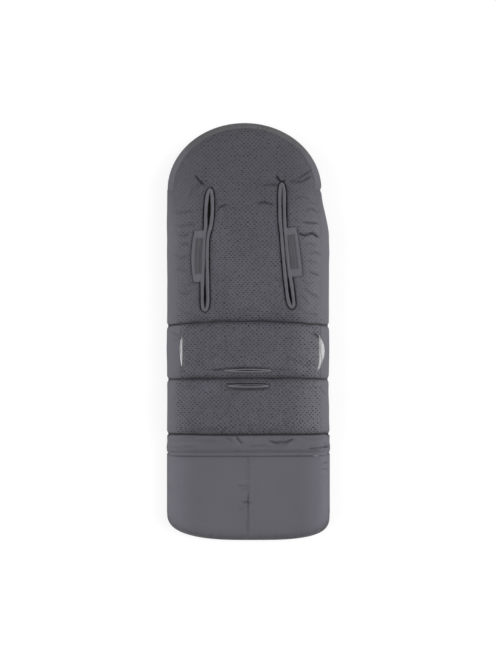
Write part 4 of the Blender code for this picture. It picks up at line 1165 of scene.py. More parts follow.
def dotted_cloth(name, ends, bare=None):
    """Woven cloth with a staggered lattice of small raised dots, painted light towards its sides and
    painted shade in its folds.

    The dots fade out between the two places across given by ends.
    """
    made = Shader(name, 0.72, Sheen_Weight=0.22, Sheen_Roughness=0.35)
    made.put(made.shader.inputs["Specular IOR Level"], 0.28)
    drift = made.times(made.less(made.noise(26.0, 2.0), 0.5), DOT_DRIFT)
    fine = made.times(made.less(made.noise(135.0, 2.0), 0.5), DOT_FINE_DRIFT)
    drift = made.plus(drift, fine)
    square = []
    for way in (1, -1):
        along = made.dot((1 / DOT_PITCH_X, way / DOT_PITCH_Y, 0.0))
        cell = made.less(made.math("FRACT", made.plus(along, drift)), 0.5)
        square.append(made.times(cell, cell))
    away = made.math("SQRT", made.plus(square[0], square[1]))
    side = DOT_PITCH_X / math.sqrt(2)
    radius = DOT_RADIUS / side
    dots = made.span(away, radius * 0.78, radius * 1.22, 1.0, 0.0)
    across = made.dot((1.0, 0.0, 0.0))
    reach = made.math("ABSOLUTE", across)
    faded = made.span(made.noise(170.0, 4.0), 0.36, 0.60, DOT_FADED, 1.0)
    shown = made.times(faded, made.span(reach, ends[0], ends[1], 1.0, 0.0))
    along = made.dot((0.0, 1.0, 0.0))
    worn_off = made.times(made.span(along, 0.0, 0.06), made.span(reach, 0.085, 0.160))
    shown = made.times(shown, made.span(worn_off, 0.0, 1.0, 1.0, DOT_WORN))
    if bare is not None:
        clear = made.times(made.span(along, bare[0], bare[0] + 0.001),
                          made.span(along, bare[1] - 0.001, bare[1], 1.0, 0.0))
        shown = made.times(shown, made.less(1.0, clear))
    slow = made.noise(11.0, 3.0)
    patch = made.noise(60.0, 4.0)
    share = made.both(slow, patch, 0.6)
    tone = made.tones(share, DOTTED, 0.86, 1.14)
    grain = made.span(made.noise(420.0, 2.0), 0.34, 0.66, 0.0, GRAIN_SHARE)
    tone = made.mix(grain, tone, tinted(DOTTED, 0.30))
    # Painted light towards the sides, shifted so the right side is lighter
    shifted = made.math("ABSOLUTE", made.plus(across, SIDE_LIGHT_SHIFT))
    tone = made.mix(made.span(shifted, *SIDE_LIGHT_REACH), tone, SIDE)
    head = made.times(made.span(along, *HEAD_TONE_REACH), HEAD_TONE_SHARE)
    tone = made.mix(head, tone, tinted(DOTTED, HEAD_TONE))
    worn = made.mix(made.times(made.wear(), 0.2), tone, tinted(DOTTED, 1.4))
    dots = made.times(dots, shown)
    # Painted shade in the folds
    colour = made.folded(made.mix(dots, worn, DOT), tinted(DOTTED, 0.08))
    normal = made.bump(made.noise(90.0, 5.0), 0.0016, 0.4)
    normal = made.bump(made.weave(0.0011, 0.78), 0.00015, 0.5, normal)
    normal = made.bump(dots, 0.0004, 0.6, normal)
    return made.finish(colour, normal, made.span(dots, 0.0, 1.0, 0.76, 0.55))


def fleece_cloth(name, colour):
    """Short curly pile."""
    made = Shader(name, 0.95, Sheen_Weight=0.5, Sheen_Roughness=0.6)
    made.put(made.shader.inputs["Specular IOR Level"], 0.15)
    curls = made.noise(260.0, 4.0, None, 0.65)
    clumps = made.noise(55.0, 3.0)
    share = made.both(curls, clumps, 0.6)
    tone = made.tones(share, colour, 0.80, 1.12)
    normal = made.bump(clumps, 0.0030, 0.4)
    normal = made.bump(curls, 0.0020, 0.7, normal)
    return made.finish(tone, normal)


def woven_tape(name, colour, roughness=0.9):
    """Stiff woven tape with short hooks or loops."""
    made = Shader(name, roughness, Sheen_Weight=0.3)
    fuzz = made.noise(900.0, 2.0)
    rows = made.math("SINE", made.dot((0.0, math.tau / 0.0016, 0.0)))
    tone = made.tones(fuzz, colour, 0.7, 1.3)
    normal = made.bump(fuzz, 0.0008, 0.8)
    normal = made.bump(rows, 0.0002, 0.6, normal)
    return made.finish(tone, normal)


def metal_paint(name):
    """Dark painted metal, worn lighter at its edges."""
    made = Shader(name, 0.35, Metallic=0.85)
    grain = made.noise(500.0, 3.0, (1.0, 0.1, 1.0))
    chips = made.times(made.wear(0.54, 0.66), 0.6)
    tone = made.mix(chips, METAL, (0.30, 0.30, 0.31))
    return made.finish(tone, made.bump(grain, 0.0001, 0.3), made.span(grain, 0.3, 0.7, 0.28, 0.45))


def moulded_teeth(name, low, high, axis):
    """Moulded teeth beside woven tape, told apart by where they lie."""
    made = Shader(name, 0.4)
    direction = [0.0, 0.0, 0.0]
    direction[axis] = 1.0
    along = made.dot(tuple(direction))
    teeth = made.times(made.span(along, low, low + 0.0002),
                      made.span(along, high - 0.0002, high, 1.0, 0.0))
    fuzz = made.noise(700.0, 3.0)
    tape = made.tones(fuzz, ZIP_TAPE, 0.8, 1.2)
    moulded = made.mix(made.times(made.wear(), 0.4), ZIP_TEETH, tinted(ZIP_TEETH, 3.0))
    normal = made.bump(made.weave(0.0010, 0.78), 0.0002, 0.6)
    return made.finish(made.mix(teeth, tape, moulded), normal, made.span(teeth, 0.0, 1.0, 0.85, 0.4))


DOTTED_CLOTH = dotted_cloth("dotted_anti_slip_cloth", (0.165, 0.200))
PLAIN_CLOTH = plain_cloth("plain_nylon_cloth", PLAIN, 0.6, spread=0.045)
SIDE_CLOTH = dotted_cloth("side_nylon_cloth", (0.172, 0.190), (KNEE_SEAM_Y, SEAT_SEAM_Y + 0.002))
LIP_HIGHLIGHT_CLOTH = plain_cloth("slot_lip_highlight_cloth", LIP_HIGHLIGHT, 0.5, spread=0.08)
TAB_PATCH_SHADE_CLOTH = plain_cloth("tab_patch_shaded_cloth", TAB_PATCH_SHADE, 0.6, spread=0.16)
HEM_CLOTH = plain_cloth("hem_cloth_woven", HEM, 0.7, spread=0.10)
RIM_CLOTH = plain_cloth("head_hem_cloth", HEM, 0.7, spread=0.08, below=(0.395, 0.475, RIM_LOW))
# Painted shade: the slots' facings are tinted darker than the hem cloth
FACING_SHADE_CLOTH = plain_cloth("slot_facing_shaded_cloth", tinted(HEM, 0.8), 0.8, spread=0.15)
BINDING_CLOTH = plain_cloth("slot_binding_cloth", BINDING, 0.6, spread=0.10)
# Painted shade: the band is a slightly darker copy of the plain cloth
BAND_SHADED_CLOTH = plain_cloth("band_nylon_cloth_shaded", tinted(PLAIN, 0.95), 0.6, spread=0.08)
TAB_CLOTH = plain_cloth("tab_cloth_woven", tinted(PLAIN, 1.06), 0.62, spread=0.08)
FLEECE_CLOTH = fleece_cloth("grey_fleece", FLEECE)
THREAD_CLOTH = plain_cloth("sewing_thread", THREAD, 0.6, 0.0004)
HOOK_TAPE = woven_tape("hook_and_loop_tape", TAPE)
ELASTIC = woven_tape("covered_elastic", (0.04, 0.04, 0.042), 0.7)
METAL_PAINT = metal_paint("painted_zip_metal")


def build_pads():
    """Padded sections of the back, with the slots cut through them."""
    made = {}
    for name, grid in PAD_GRIDS.items():
        pad = solid_from_grid(name + "_pad", grid, PAD_BASE + GAP)
        made[name] = link(pad, None, DOTTED_CLOTH)
    plans = []
    for loop in HARNESS_LOOPS.values():
        plans.append(("upper", loop, HARNESS_HOLE))
    plans.append(("seat", CROTCH_LOOPS["upper"], CROTCH_HOLE))
    plans.append(("leg", CROTCH_LOOPS["lower"], CROTCH_HOLE))
    for loop in LAP_LENSES.values():
        plans.append(("seat", loop, 0.0))
    for name, pad in made.items():
        cutters = []
        for number, (section, loop, reach) in enumerate(plans):
            if section == name:
                outline = slot_outline(loop, reach)
                cutters.append(cutter_from_loop("cutter_%d" % number, outline, *PAD_CUT))
        cut_with(pad, cutters)
        paint_fold_shade(pad)
        bow_band_seam(pad)
        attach(pad, "back")
        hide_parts(name + "_pad_cover", name + "_pad_wadding")
    return made


ROLL_TOP_STEPS = 26
ROLL_UNDER_STEPS = 7
ROLL_SPACING = 0.0022
# How far the rolls and the head's hem draw in under their widest place
ROLL_DRAW_IN = 0.0075
HEM_DRAW_IN = 0.007
# How far in from the outline the notches and sways reach
NOTCH_PULL = 0.02


def roll_levels():
    """Places along the side rolls, closer together near the cross seams."""
    seams = [BAND_SEAM_Y, KNEE_SEAM_Y, SEAT_SEAM_Y, SPRING_Y]
    levels = []
    for low, high in zip(seams, seams[1:]):
        count = int((high - low) / ROLL_SPACING)
        levels += (low + (high - low) * shares(count, 0.65)[:-1]).tolist()
    levels.append(SPRING_Y)
    levels[0] += GAP
    return np.array(levels)


def edge_notch(x, y):
    """How far the outline draws in at the cross seams, and on the right at the hem's end."""
    total = HEM_NOTCH * bell(y - SPRING_Y, NOTCH_REACH) * (x > 0)
    for seam in (seat_seam(x), knee_seam(x), band_seam(x)):
        total = total + NOTCH_DEPTH * bell(y - seam, NOTCH_REACH)
    return total


def build_rolls():
    """Plain rolled edges of both sides."""
    for side, label in ((-1, "left"), (1, "right")):
        levels = roll_levels()
        rings = []
        sway = 0.0012 * line_noise(levels, 0.11, 20 + side)
        sway += 0.0006 * line_noise(levels, 0.035, 24 + side)
        for y, shift in zip(levels, sway):
            inner = float(panel_edge(y, side)) - side * SEWN_LAP
            outer = float(centre_x(y) + side * half_width(y))
            notch = float(edge_notch(outer, y))
            reach = abs(outer - inner)
            t = np.linspace(0, 1, ROLL_TOP_STEPS)
            inset = reach * (1 - np.sin(np.pi / 2 * t))
            pull = smooth(1 - inset / NOTCH_PULL)
            x_true = outer - side * inset
            x = x_true - side * (notch - shift) * pull
            z = back_height(x_true, np.full_like(x_true, y))
            under = np.linspace(0, 1, ROLL_UNDER_STEPS)[1:]
            low = PAD_BASE + GAP
            drop_x = outer - side * (notch - shift) - side * ROLL_DRAW_IN * (1 - np.cos(np.pi / 2 * under))
            drop_z = z[-1] + (low - z[-1]) * np.sin(np.pi / 2 * under)
            ring = list(zip(x, np.full_like(x, y), z))
            ring += list(zip(drop_x, np.full_like(drop_x, y), drop_z))
            ring.append((inner, y, low))
            rings.append(ring)
        roll = loft_rings("side_roll_" + label, rings)
        link(roll, None, SIDE_CLOTH)
        outline = slot_outline(LAP_LENSES[label], 0.0)
        cut_with(roll, [cutter_from_loop("cutter_roll", outline, *PAD_CUT)])
        paint_fold_shade(roll)
        bow_band_seam(roll)
        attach(roll, "back")
        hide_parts("edge_roll_" + label)


HEM_STEPS = 15
HEM_ANGLES = 260
HEM_PUFF = 0.0016
# Gathers of the head's hem: angle round the head, width, and depth
GATHERS = ((1.62, 0.020, 0.9), (1.56, 0.014, 0.7), (1.40, 0.018, 1.1), (1.33, 0.012, 1.2),
           (1.27, 0.012, 1.0), (1.05, 0.020, 0.6), (0.86, 0.016, 0.7), (1.80, 0.018, 0.6),
           (2.05, 0.016, 0.5), (2.45, 0.02, 0.5), (0.55, 0.016, 0.5))


def build_head_rim():
    """Rolled hem round the head, with gathers."""
    angles = np.linspace(0, np.pi, HEM_ANGLES)
    middle = float(centre_x(SPRING_Y))
    rings = []
    for angle in angles:
        tucks = sum(deep * bell(angle - at, wide) for at, wide, deep in GATHERS)
        tucks += 0.25 * float(value_noise(np.array(angle), np.array(0.0), 0.035, 31))
        t = np.linspace(0, 1, HEM_STEPS)
        inset = HEAD_ROLL * (1 - np.sin(np.pi / 2 * t)) - GAP * (1 - t)
        notch = HEM_NOTCH * bell(HEAD_ARCH * math.sin(angle), NOTCH_REACH) * (angle < 1)
        out_x = middle + (HEAD_HALF - inset) * np.cos(angle) - notch * smooth(1 - inset / NOTCH_PULL)
        out_y = SPRING_Y + (HEAD_ARCH - inset) * np.sin(angle)
        z = back_height(out_x, out_y, "upper")
        end = float(smooth(1.5 * math.sin(angle) - 0.1))
        puff = np.sin(np.pi * np.clip(inset / HEAD_ROLL, 0, 1)) * end
        z = z + HEM_PUFF * puff * (1 - 0.6 * tucks) - HEM_PUFF * tucks * smooth((inset + 0.002) / 0.01)
        line = 0.35 + 0.65 * smooth(0.5 + float(value_noise(np.array(angle), np.array(0.0), 0.3, 35)))
        z -= 0.0020 * line * end * bell(inset - HEAD_ROLL, 0.0022)
        under = np.linspace(0, 1, ROLL_UNDER_STEPS)[1:]
        low = PAD_BASE + GAP
        drop_x = out_x[-1] - HEM_DRAW_IN * (1 - np.cos(np.pi / 2 * under)) * np.cos(angle)
        drop_y = out_y[-1] - HEM_DRAW_IN * (1 - np.cos(np.pi / 2 * under)) * np.sin(angle)
        drop_z = z[-1] + (low - z[-1]) * np.sin(np.pi / 2 * under)
        ring = list(zip(out_x, out_y, z)) + list(zip(drop_x, drop_y, drop_z))
        ring.append((out_x[0], out_y[0], low))
        rings.append(ring)
    rim = link(loft_rings("head_hem", rings), "back", RIM_CLOTH)
    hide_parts("hood_rim")


def fuller(x):
    """Place across the bag or band with the cloth's fullness at the sides."""
    gain = np.where(x < 0, -FOOT_FULL[0], FOOT_FULL[1])
    return x + gain * smooth((np.abs(x) / FOOT_HALF - 0.6) / 0.4)


def foot_power(x):
    """How square the foot bag's corner is on the side of x."""
    return np.where(x < 0, FOOT_POWER[0], FOOT_POWER[1])


def foot_half(x, y):
    """Half the foot bag's width at y, on the side of x."""
    depth = np.clip((FOOT_END_Y + FOOT_CORNER_Y - y) / FOOT_CORNER_Y, 0, 1)
    power = foot_power(x)
    return FOOT_HALF * (1 - depth ** power) ** (1 / power)


def foot_end(x):
    """Place along Y of the foot bag's rounded end."""
    share = np.clip(np.abs(x) / FOOT_HALF, 0, 1)
    power = foot_power(x)
    return FOOT_END_Y + FOOT_CORNER_Y * (1 - (1 - share ** power) ** (1 / power))


def sleeve_top(x):
    """Height of the band's and the foot bag's flat back across the width."""
    return FOOT_MID_Z + (FOOT_TOP - FOOT_MID_Z) * quarter(FOOT_HALF - np.abs(x), FOOT_ROUND)


def sleeve_low(x):
    """Height of the band's front across the width."""
    return FOOT_MID_Z * (1 - quarter(FOOT_HALF - np.abs(x), BAND_LOW_ROUND))


FOOT_ROWS = 116
FOOT_COLUMNS = 221
BAND_ROWS = 34
BAND_COLUMNS = 171
LOW_ROUND = 0.018
BAND_LOW_ROUND = 0.016
FOOT_SEAM_X = 0.0010
FOOT_SEAM_SKEW = 0.0025
FOOT_SEAM_LENGTH = 0.21
FOOT_SEAM_DEPTH = 0.0022
FOOT_SEAM_WIDTH = 0.0012
FOOT_SEAM_RIDGE = 0.0006
FOOT_GATHER = 0.00055
FOOT_TUCK = 0.0007
FOOT_MOUTH_DIP = 0.0030
FOOT_MOUTH_REACH = 0.0035
# How far the band's relief falls at its seam, and the width of the fall
BAND_SEAM_DEPTH = 0.0060
BAND_SEAM_REACH = 0.0040
BAND_ZIP_DIP = 0.0010
BAND_ZIP_REACH = 0.0020
BAND_PUFF = 0.0012
# Widths of the painted shade lines in seams and at the flap's edges
FOOT_SEAM_LINE = 0.0009
FOOT_MOUTH_LINE = 0.0018
BAND_SEAM_LINE = 0.0036
FLAP_SEAM_LINE = 0.0018


def foot_seam_x(y):
    """Place across of the foot bag's centre seam, which runs a little askew."""
    return FOOT_SEAM_X + FOOT_SEAM_SKEW * (y - FOLD_Y) / FOOT_SEAM_LENGTH


def seam_strength(y):
    """How strongly the foot bag's centre seam shows along its length."""
    return 0.12 + 0.40 * bell(y - FOLD_Y + 0.014, 0.014) + 0.75 * smooth((FOLD_Y - 0.090 - y) / 0.020)


def foot_top(x, y):
    """Height of the foot bag's back."""
    across = quarter(foot_half(x, y) - np.abs(x), FOOT_ROUND)
    along = quarter(y - foot_end(x), FOOT_ROUND)
    rise = across * along
    height = FOOT_MID_Z + (FOOT_TOP - FOOT_MID_Z) * rise
    relief = layered(x, y, *FOOT_BUMPS)
    off = x - foot_seam_x(y)
    relief -= FOOT_SEAM_DEPTH * bell(off, FOOT_SEAM_WIDTH) * seam_strength(y)
    relief += FOOT_SEAM_RIDGE * bell(np.abs(off) - 0.006, 0.004)
    gather = np.sin(y * 520 + 2 * line_noise(y, 0.03, 51))
    relief += FOOT_GATHER * gather * bell(off, 0.014)
    relief += creases(x, y, FOOT_CREASES)
    tuck = np.sin(x * 400 + 5 * line_noise(x, 0.05, 53))
    relief += FOOT_TUCK * tuck * bell(y - foot_end(x) - 0.008, 0.009)
    relief -= FOOT_MOUTH_DIP * bell(FOLD_Y - y, FOOT_MOUTH_REACH)
    return height + relief * rise


def foot_low(x, y):
    """Height of the foot bag's front, on the floor but for its rounded rim."""
    across = quarter(foot_half(x, y) - np.abs(x), LOW_ROUND)
    along = quarter(y - foot_end(x), LOW_ROUND)
    return FOOT_MID_Z * (1 - across * along)


def foot_painted_shade(x, y):
    """Painted shade of the foot bag's back: its seam and folds, a painted shadow under the flap's free
    edge, and darker towards its end.
    """
    share = 0.72 * seam_strength(y) * bell(x - foot_seam_x(y), FOOT_SEAM_LINE)
    share = np.maximum(share, crease_shade(creases(x, y, FOOT_CREASES)))
    # Painted shadow under the flap's free edge
    mouth = y - FLAP_FREE_Y + 0.0002 + 0.0006 * (1 - (x / FOOT_HALF) ** 2)
    uneven = 0.30 + 0.45 * bell(x + 0.012, 0.080) + 0.15 * line_noise(x, 0.03, 177)
    share = np.maximum(share, bell(mouth, FOOT_MOUTH_LINE) * uneven)
    # Painted shade towards the bag's end
    hem = 0.32 + 0.16 * value_noise(x, y, 0.010, 179)
    return np.maximum(share, hem * (1 - smooth((y - foot_end(x)) / 0.020)))


def band_painted_shade(x, y):
    """Painted shade of the band's back: its folds, its seam, and a line at the flap's sewn edge."""
    share = crease_shade(creases(x, y, BAND_CREASES))
    share = np.maximum(share, bell(y - BAND_SEAM_Y, BAND_SEAM_LINE))
    return np.maximum(share, 0.14 * bell(y - FLAP_TOP_Y - 0.0008, FLAP_SEAM_LINE))


def build_foot():
    """Foot bag of plain cloth, open at its mouth."""
    columns, rows = FOOT_COLUMNS, FOOT_ROWS
    x = crowded(columns, 0.6)[None, :] * FOOT_HALF
    low = foot_end(x)
    along = shares(rows, 0.6)[:, None]
    mouth = FOLD_Y - GAP
    y = mouth + (low - mouth) * along
    x = x + 0 * y
    top = np.dstack([x, y, foot_top(x, y)])
    bottom = np.dstack([x, y, np.maximum(foot_low(x, y), 0.0)])
    for grid in (top, bottom):
        grid[-1, :, 2] = FOOT_MID_Z
        grid[:, 0, 2] = FOOT_MID_Z
        grid[:, -1, 2] = FOOT_MID_Z
    count = rows * columns
    faces = grid_faces(rows, columns) + grid_faces(rows, columns, count, True)
    points = np.vstack([top.reshape(-1, 3), bottom.reshape(-1, 3)])
    points[:, 0] = fuller(points[:, 0])
    bag = mesh_object("foot_bag_cloth", points, faces, weld=0.00001)
    bpy.context.scene.collection.objects.link(bag)
    apply_modifier(bag, "SOLIDIFY", thickness=CLOTH_THICK * 0.6, offset=-1.0, use_rim=True)
    bpy.context.scene.collection.objects.unlink(bag)
    paint_fold_shade(bag, level=foot_painted_shade)
    link(bag, "foot_bag", PLAIN_CLOTH)
    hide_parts("foot_back_left", "foot_back_right", "foot_wall", "foot_front")


def band_height(x, y):
    """Height of the band's back, with its wrinkles and its two seams."""
    height = sleeve_top(x)
    rise = quarter(FOOT_HALF - np.abs(x), FOOT_ROUND)
    relief = layered(x, y, *BAND_BUMPS)
    relief += creases(x, y, BAND_CREASES)
    relief += puckers(x, BAND_SEAM_Y - y, 67)
    relief -= BAND_SEAM_DEPTH * (1 - smooth((BAND_SEAM_Y - y) / BAND_SEAM_REACH))
    relief -= BAND_ZIP_DIP * bell(y - FOLD_Y, BAND_ZIP_REACH)
    relief += BAND_PUFF * bell(BAND_SEAM_Y - y - 0.012, 0.010)
    return height + relief * (0.2 + 0.8 * rise)


def build_band():
    """Plain band round the legs, between the padded back and the foot bag."""
    levels = BAND_SEAM_Y - GAP + (FOLD_Y + GAP - BAND_SEAM_Y + GAP) * shares(BAND_ROWS, 0.7)
    x = crowded(BAND_COLUMNS, 0.65) * FOOT_HALF
    outer, inner = [], []
    for y in levels:
        pinch = 0.0018 * bell(y - BAND_SEAM_Y, 0.005) + 0.0014 * bell(y - FOLD_Y, 0.004)
        top = band_height(x, np.full_like(x, y))
        low = sleeve_low(x)
        top[[0, -1]] = FOOT_MID_Z
        wide = 1 + (0.0008 * math.sin(y * 190) - pinch) / FOOT_HALF
        ring_x, ring_y, ring_z = flat_ring(x, y, top, low)
        outer.append(np.column_stack([fuller(ring_x * wide), ring_y, ring_z]))
        inner.append(thinner_ring(outer[-1], y, FOOT_MID_Z, CLOTH_THICK))
    band = link(pipe_rings("band_cloth", outer, inner), "root", BAND_SHADED_CLOTH)
    paint_fold_shade(band, level=band_painted_shade)
    bow_band_seam(band)
    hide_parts("band_sleeve")


def loop_edges(loop, levels):
    """Left and right edges of a loop at the given places along Y."""
    start = int(np.argmax(loop[:, 1]))
    turned = np.roll(loop, -start, 0)
    end = int(np.argmin(turned[:, 1]))
    first = turned[:end + 1][::-1]
    second = np.vstack([turned[end:], turned[:1]])
    one = np.interp(levels, first[:, 1], first[:, 0])
    other = np.interp(levels, second[:, 1], second[:, 0])
    return np.minimum(one, other), np.maximum(one, other)


# Welts of the slots' bindings: width, rise, and lift above the pad
HARNESS_WELT = (0.0088, 0.0084, 0.0032)
CROTCH_WELT = (0.0028, 0.0030, 0.0006)


def build_bindings():
    """Piped bindings of the harness slots and the crotch slots."""
    for side, loop in HARNESS_LOOPS.items():
        made = binding_loop("harness_binding_" + side, loop, *HARNESS_WELT)
        link(made, "back", BINDING_CLOTH)
        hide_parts("harness_slot_" + side + "_binding")
    for label, loop in CROTCH_LOOPS.items():
        made = binding_loop("crotch_binding_" + label, loop, *CROTCH_WELT)
        link(made, "back", LIP_HIGHLIGHT_CLOTH)
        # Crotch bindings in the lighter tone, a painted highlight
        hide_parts("crotch_slot_" + label + "_binding")


def build_lap_facings():
    """Fleece facings that press together inside the lap belt slots."""
    for label, loop in LAP_LENSES.items():
        outline = smooth_route(loop, 0.0025, True)
        low, high = outline[:, 1].min(), outline[:, 1].max()
        levels = low + (high - low) * shares(60, 0.5)[1:-1]
        edge_a, edge_b = loop_edges(outline, levels)
        rings = []
        for y, a, b in zip(levels, edge_a, edge_b):
            left, right = min(a, b) - 0.0012, max(a, b) + 0.0012
            split = left + (right - left) * (0.5 + 0.22 * math.sin((y - low) * 85))
            surface = float(back_height(np.array((left + right) / 2), np.array(y)))
            across = np.linspace(0, 1, 17)
            x = left + (right - left) * across
            fold = bell(x - split, 0.0011)
            lobes = np.sin(np.pi * across) ** 0.6
            z = surface - 0.0030 + 0.0036 * lobes - 0.0030 * fold
            low_z = np.full_like(z, LINING_TOP + 0.002)
            rings.append(strip_ring(x, np.full_like(x, y), z, low_z))
        facing = loft_rings("lap_facing_" + label, rings)
        link(facing, "back", FLEECE_CLOTH)
        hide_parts("lap_slot_" + label + "_binding")


# Closing tabs, written in millimetres: inner and outer corner of the lower end, the same of
# the upper end, and how far the outer edge bulges
TABS = {
    "left": (route((-109.5, 126.5), (-134.5, 123.5)), route((-105.5, 253), (-132.5, 251.5)), 7.2),
    "right": (route((99.8, 136.5), (136.0, 139.5)), route((88.6, 257.8), (120.2, 261.0)), 0.6),
}
TAB_RAISE = 0.0012
TAB_THICK = 0.0017
# Rise over the slot's welt, ditch of the stitching, and the cloth's ripples
TAB_WELT_RISE = 0.0040
TAB_WELT_REACH = 0.0052
TAB_DITCH = 0.0007
TAB_DITCH_REACH = 0.0010
TAB_RIPPLE = 0.0006
TAB_WAVE = 0.0006
TAB_EDGE_FALL = 0.0008
TAB_PATCH_SINK = 0.0013
TAB_ROWS = 96
TAB_COLUMNS = 34
TAB_LONG = 0.122
TAB_WIDE = 0.030
SURFACE_PASSES = 6
# Heights over the pad of the loop tape's two faces, and of the hook tape's
LOOP_TAPE = (0.0006, -0.0006)
HOOK_TAPE_Z = (0.0013, 0.0008)
# The patch the hooks and loops are sewn in: shares of the tab's width, and of its length
TAB_PATCH = ((0.20, 0.97), (0.145, 0.855))


def tab_place(label, across, along):
    """Place in plan of a share of the tab's width and length."""
    (low_in, low_out), (high_in, high_out), bulge = TABS[label]
    low = [np.array(point)[:, None, None] for point in (low_in, low_out)]
    high = [np.array(point)[:, None, None] for point in (high_in, high_out)]
    inner = low[0] + (high[0] - low[0]) * along
    outer = low[1] + (high[1] - low[1]) * along
    away = outer - inner
    away = away / np.linalg.norm(away, axis=0)
    bow = bulge / 1000 * np.sin(np.pi * along) ** 0.8
    place = inner + (outer - inner) * across + away * bow * across
    return place[0], place[1]


def build_tabs():
    """Closing tabs over the slots, with hook and loop patches under them."""
    for label in TABS:
        across = np.linspace(0, 1, TAB_COLUMNS)[None, :]
        along = np.linspace(0, 1, TAB_ROWS)[:, None]
        x, y = tab_place(label, across + 0 * along, along + 0 * across)
        corner = np.minimum(np.minimum(along, 1 - along) * 122, (1 - across) * 30 + 2)
        base = surface_grid(x, y, SURFACE_PASSES)
        loop = smooth_route(HARNESS_LOOPS[label], 0.004, True)
        near = np.min(np.hypot(x[..., None] - loop[:, 0], y[..., None] - loop[:, 1]), axis=2)
        welt = TAB_WELT_RISE * bell(near, TAB_WELT_REACH)
        (low_u, high_u), (low_v, high_v) = TAB_PATCH
        inside = (smooth((across - 1 + high_u) / 0.05) * smooth((1 - low_u - across) / 0.05)
                  * smooth((along - low_v) / 0.012) * smooth((high_v - along) / 0.012))
        stitch_off = np.minimum(
            np.minimum(np.abs(across - 1 + high_u), np.abs(across - 1 + low_u)) * TAB_WIDE,
            np.minimum(np.abs(along - low_v), np.abs(along - high_v)) * TAB_LONG)
        ditch = TAB_DITCH * bell(stitch_off, TAB_DITCH_REACH) * (inside > 0.02)
        ripple = TAB_RIPPLE * np.sin(across * 26 + value_noise(x, y, 0.02, 71)) * inside
        wave = TAB_WAVE * value_noise(x, y, 0.025, 73)
        edge = TAB_EDGE_FALL * bell(corner / 1000, 0.0018)
        z = base + TAB_RAISE + CLOTH_THICK + welt - TAB_PATCH_SINK * inside - ditch + ripple + wave - edge
        tab = sheet_between("closing_tab_" + label, x, y, z, z - TAB_THICK)
        link(tab, "flap_" + label, TAB_CLOTH)
        # Darker cloth on the stitched patch, painted shade
        tab.data.materials.append(TAB_PATCH_SHADE_CLOTH)
        steps = across.shape[1] - 1
        for number in range((along.shape[0] - 1) * steps):
            row, column = divmod(number, steps)
            if inside[row, column] > 0.5:
                tab.data.polygons[number].material_index = 1
        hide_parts("tab_" + label)
        u = (0.40 + 0.52 * np.linspace(0, 1, 12))[None, :]
        v = (0.14 + 0.72 * np.linspace(0, 1, 40))[:, None]
        px, py = tab_place(label, u + 0 * v, v + 0 * u)
        body = surface_grid(px, py, SURFACE_PASSES)
        loops = sheet_between("loop_tape_" + label, px, py, body + LOOP_TAPE[0], body + LOOP_TAPE[1])
        link(loops, "back", HOOK_TAPE)
        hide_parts("loop_patch_" + label)
        hooks = sheet_between("hook_tape_" + label, px, py, body + HOOK_TAPE_Z[0],
                              body + HOOK_TAPE_Z[1])
        link(hooks, "flap_" + label, HOOK_TAPE)
        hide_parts("hook_patch_" + label)


# Facings that lap over each other at the bottom of the slots
FACING_LAP = 0.0008
FACING_THICK = 0.0007
FACING_DROPS = (0.0040, 0.0022)
FACING_Z = 0.0415
FACING_ROWS = 120
FACING_STEPS = 6
HARNESS_HOLE = 0.0066
CROTCH_HOLE = 0.0022


def build_slot_facings():
    """Two lips of cloth tinted dark as painted shade under each slot, one lapping under the other."""
    slots = [("harness_" + label, loop, HARNESS_HOLE, False) for label, loop in HARNESS_LOOPS.items()]
    slots += [("crotch_" + label, loop, CROTCH_HOLE, True) for label, loop in CROTCH_LOOPS.items()]
    for label, points, reach, crosswise in slots:
        loop = slot_outline(points, reach - GAP)
        if crosswise:
            loop = loop[:, ::-1]
        low, high = loop[:, 1].min() + 0.0006, loop[:, 1].max() - 0.0006
        levels = np.linspace(low, high, FACING_ROWS)
        left, right = loop_edges(loop, levels)
        middle = (left + right) / 2 + 0.0004 * np.sin(levels * 90)
        for number, (edge, way) in enumerate(((left, 1), (right, -1))):
            rings = []
            for along, start, centre in zip(levels, edge, middle):
                across = np.linspace(start, centre + way * FACING_LAP, FACING_STEPS)
                z = FACING_Z - FACING_DROPS[number] * swell(np.linspace(0, 1, FACING_STEPS), 1.0)
                level = np.full_like(across, along)
                x, y = (level, across) if crosswise else (across, level)
                rings.append(strip_ring(x, y, z, z - FACING_THICK))
            lip = loft_rings("slot_facing_%s_%d" % (label, number + 1), rings)
            link(lip, "back", FACING_SHADE_CLOTH)


# Hood: where its skirt and its hem start, and how far the lining is tucked inside it
SKIRT_LOW_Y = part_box("zip_back_left")[1].y + 0.0006
HEM_LOW_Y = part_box("cover_top_binding")[1].y + 0.0003
HOOD_TUCK = 0.0035
END_TUCK = 0.0040
END_TUCK_Y = -0.1850
HARNESS_LINING_HOLE = -0.0015
SKIRT_LOW = 0.0108
SKIRT_HIGH = 0.0317
SKIRT_END_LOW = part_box("cover_wall_left")[1].z + 0.0006


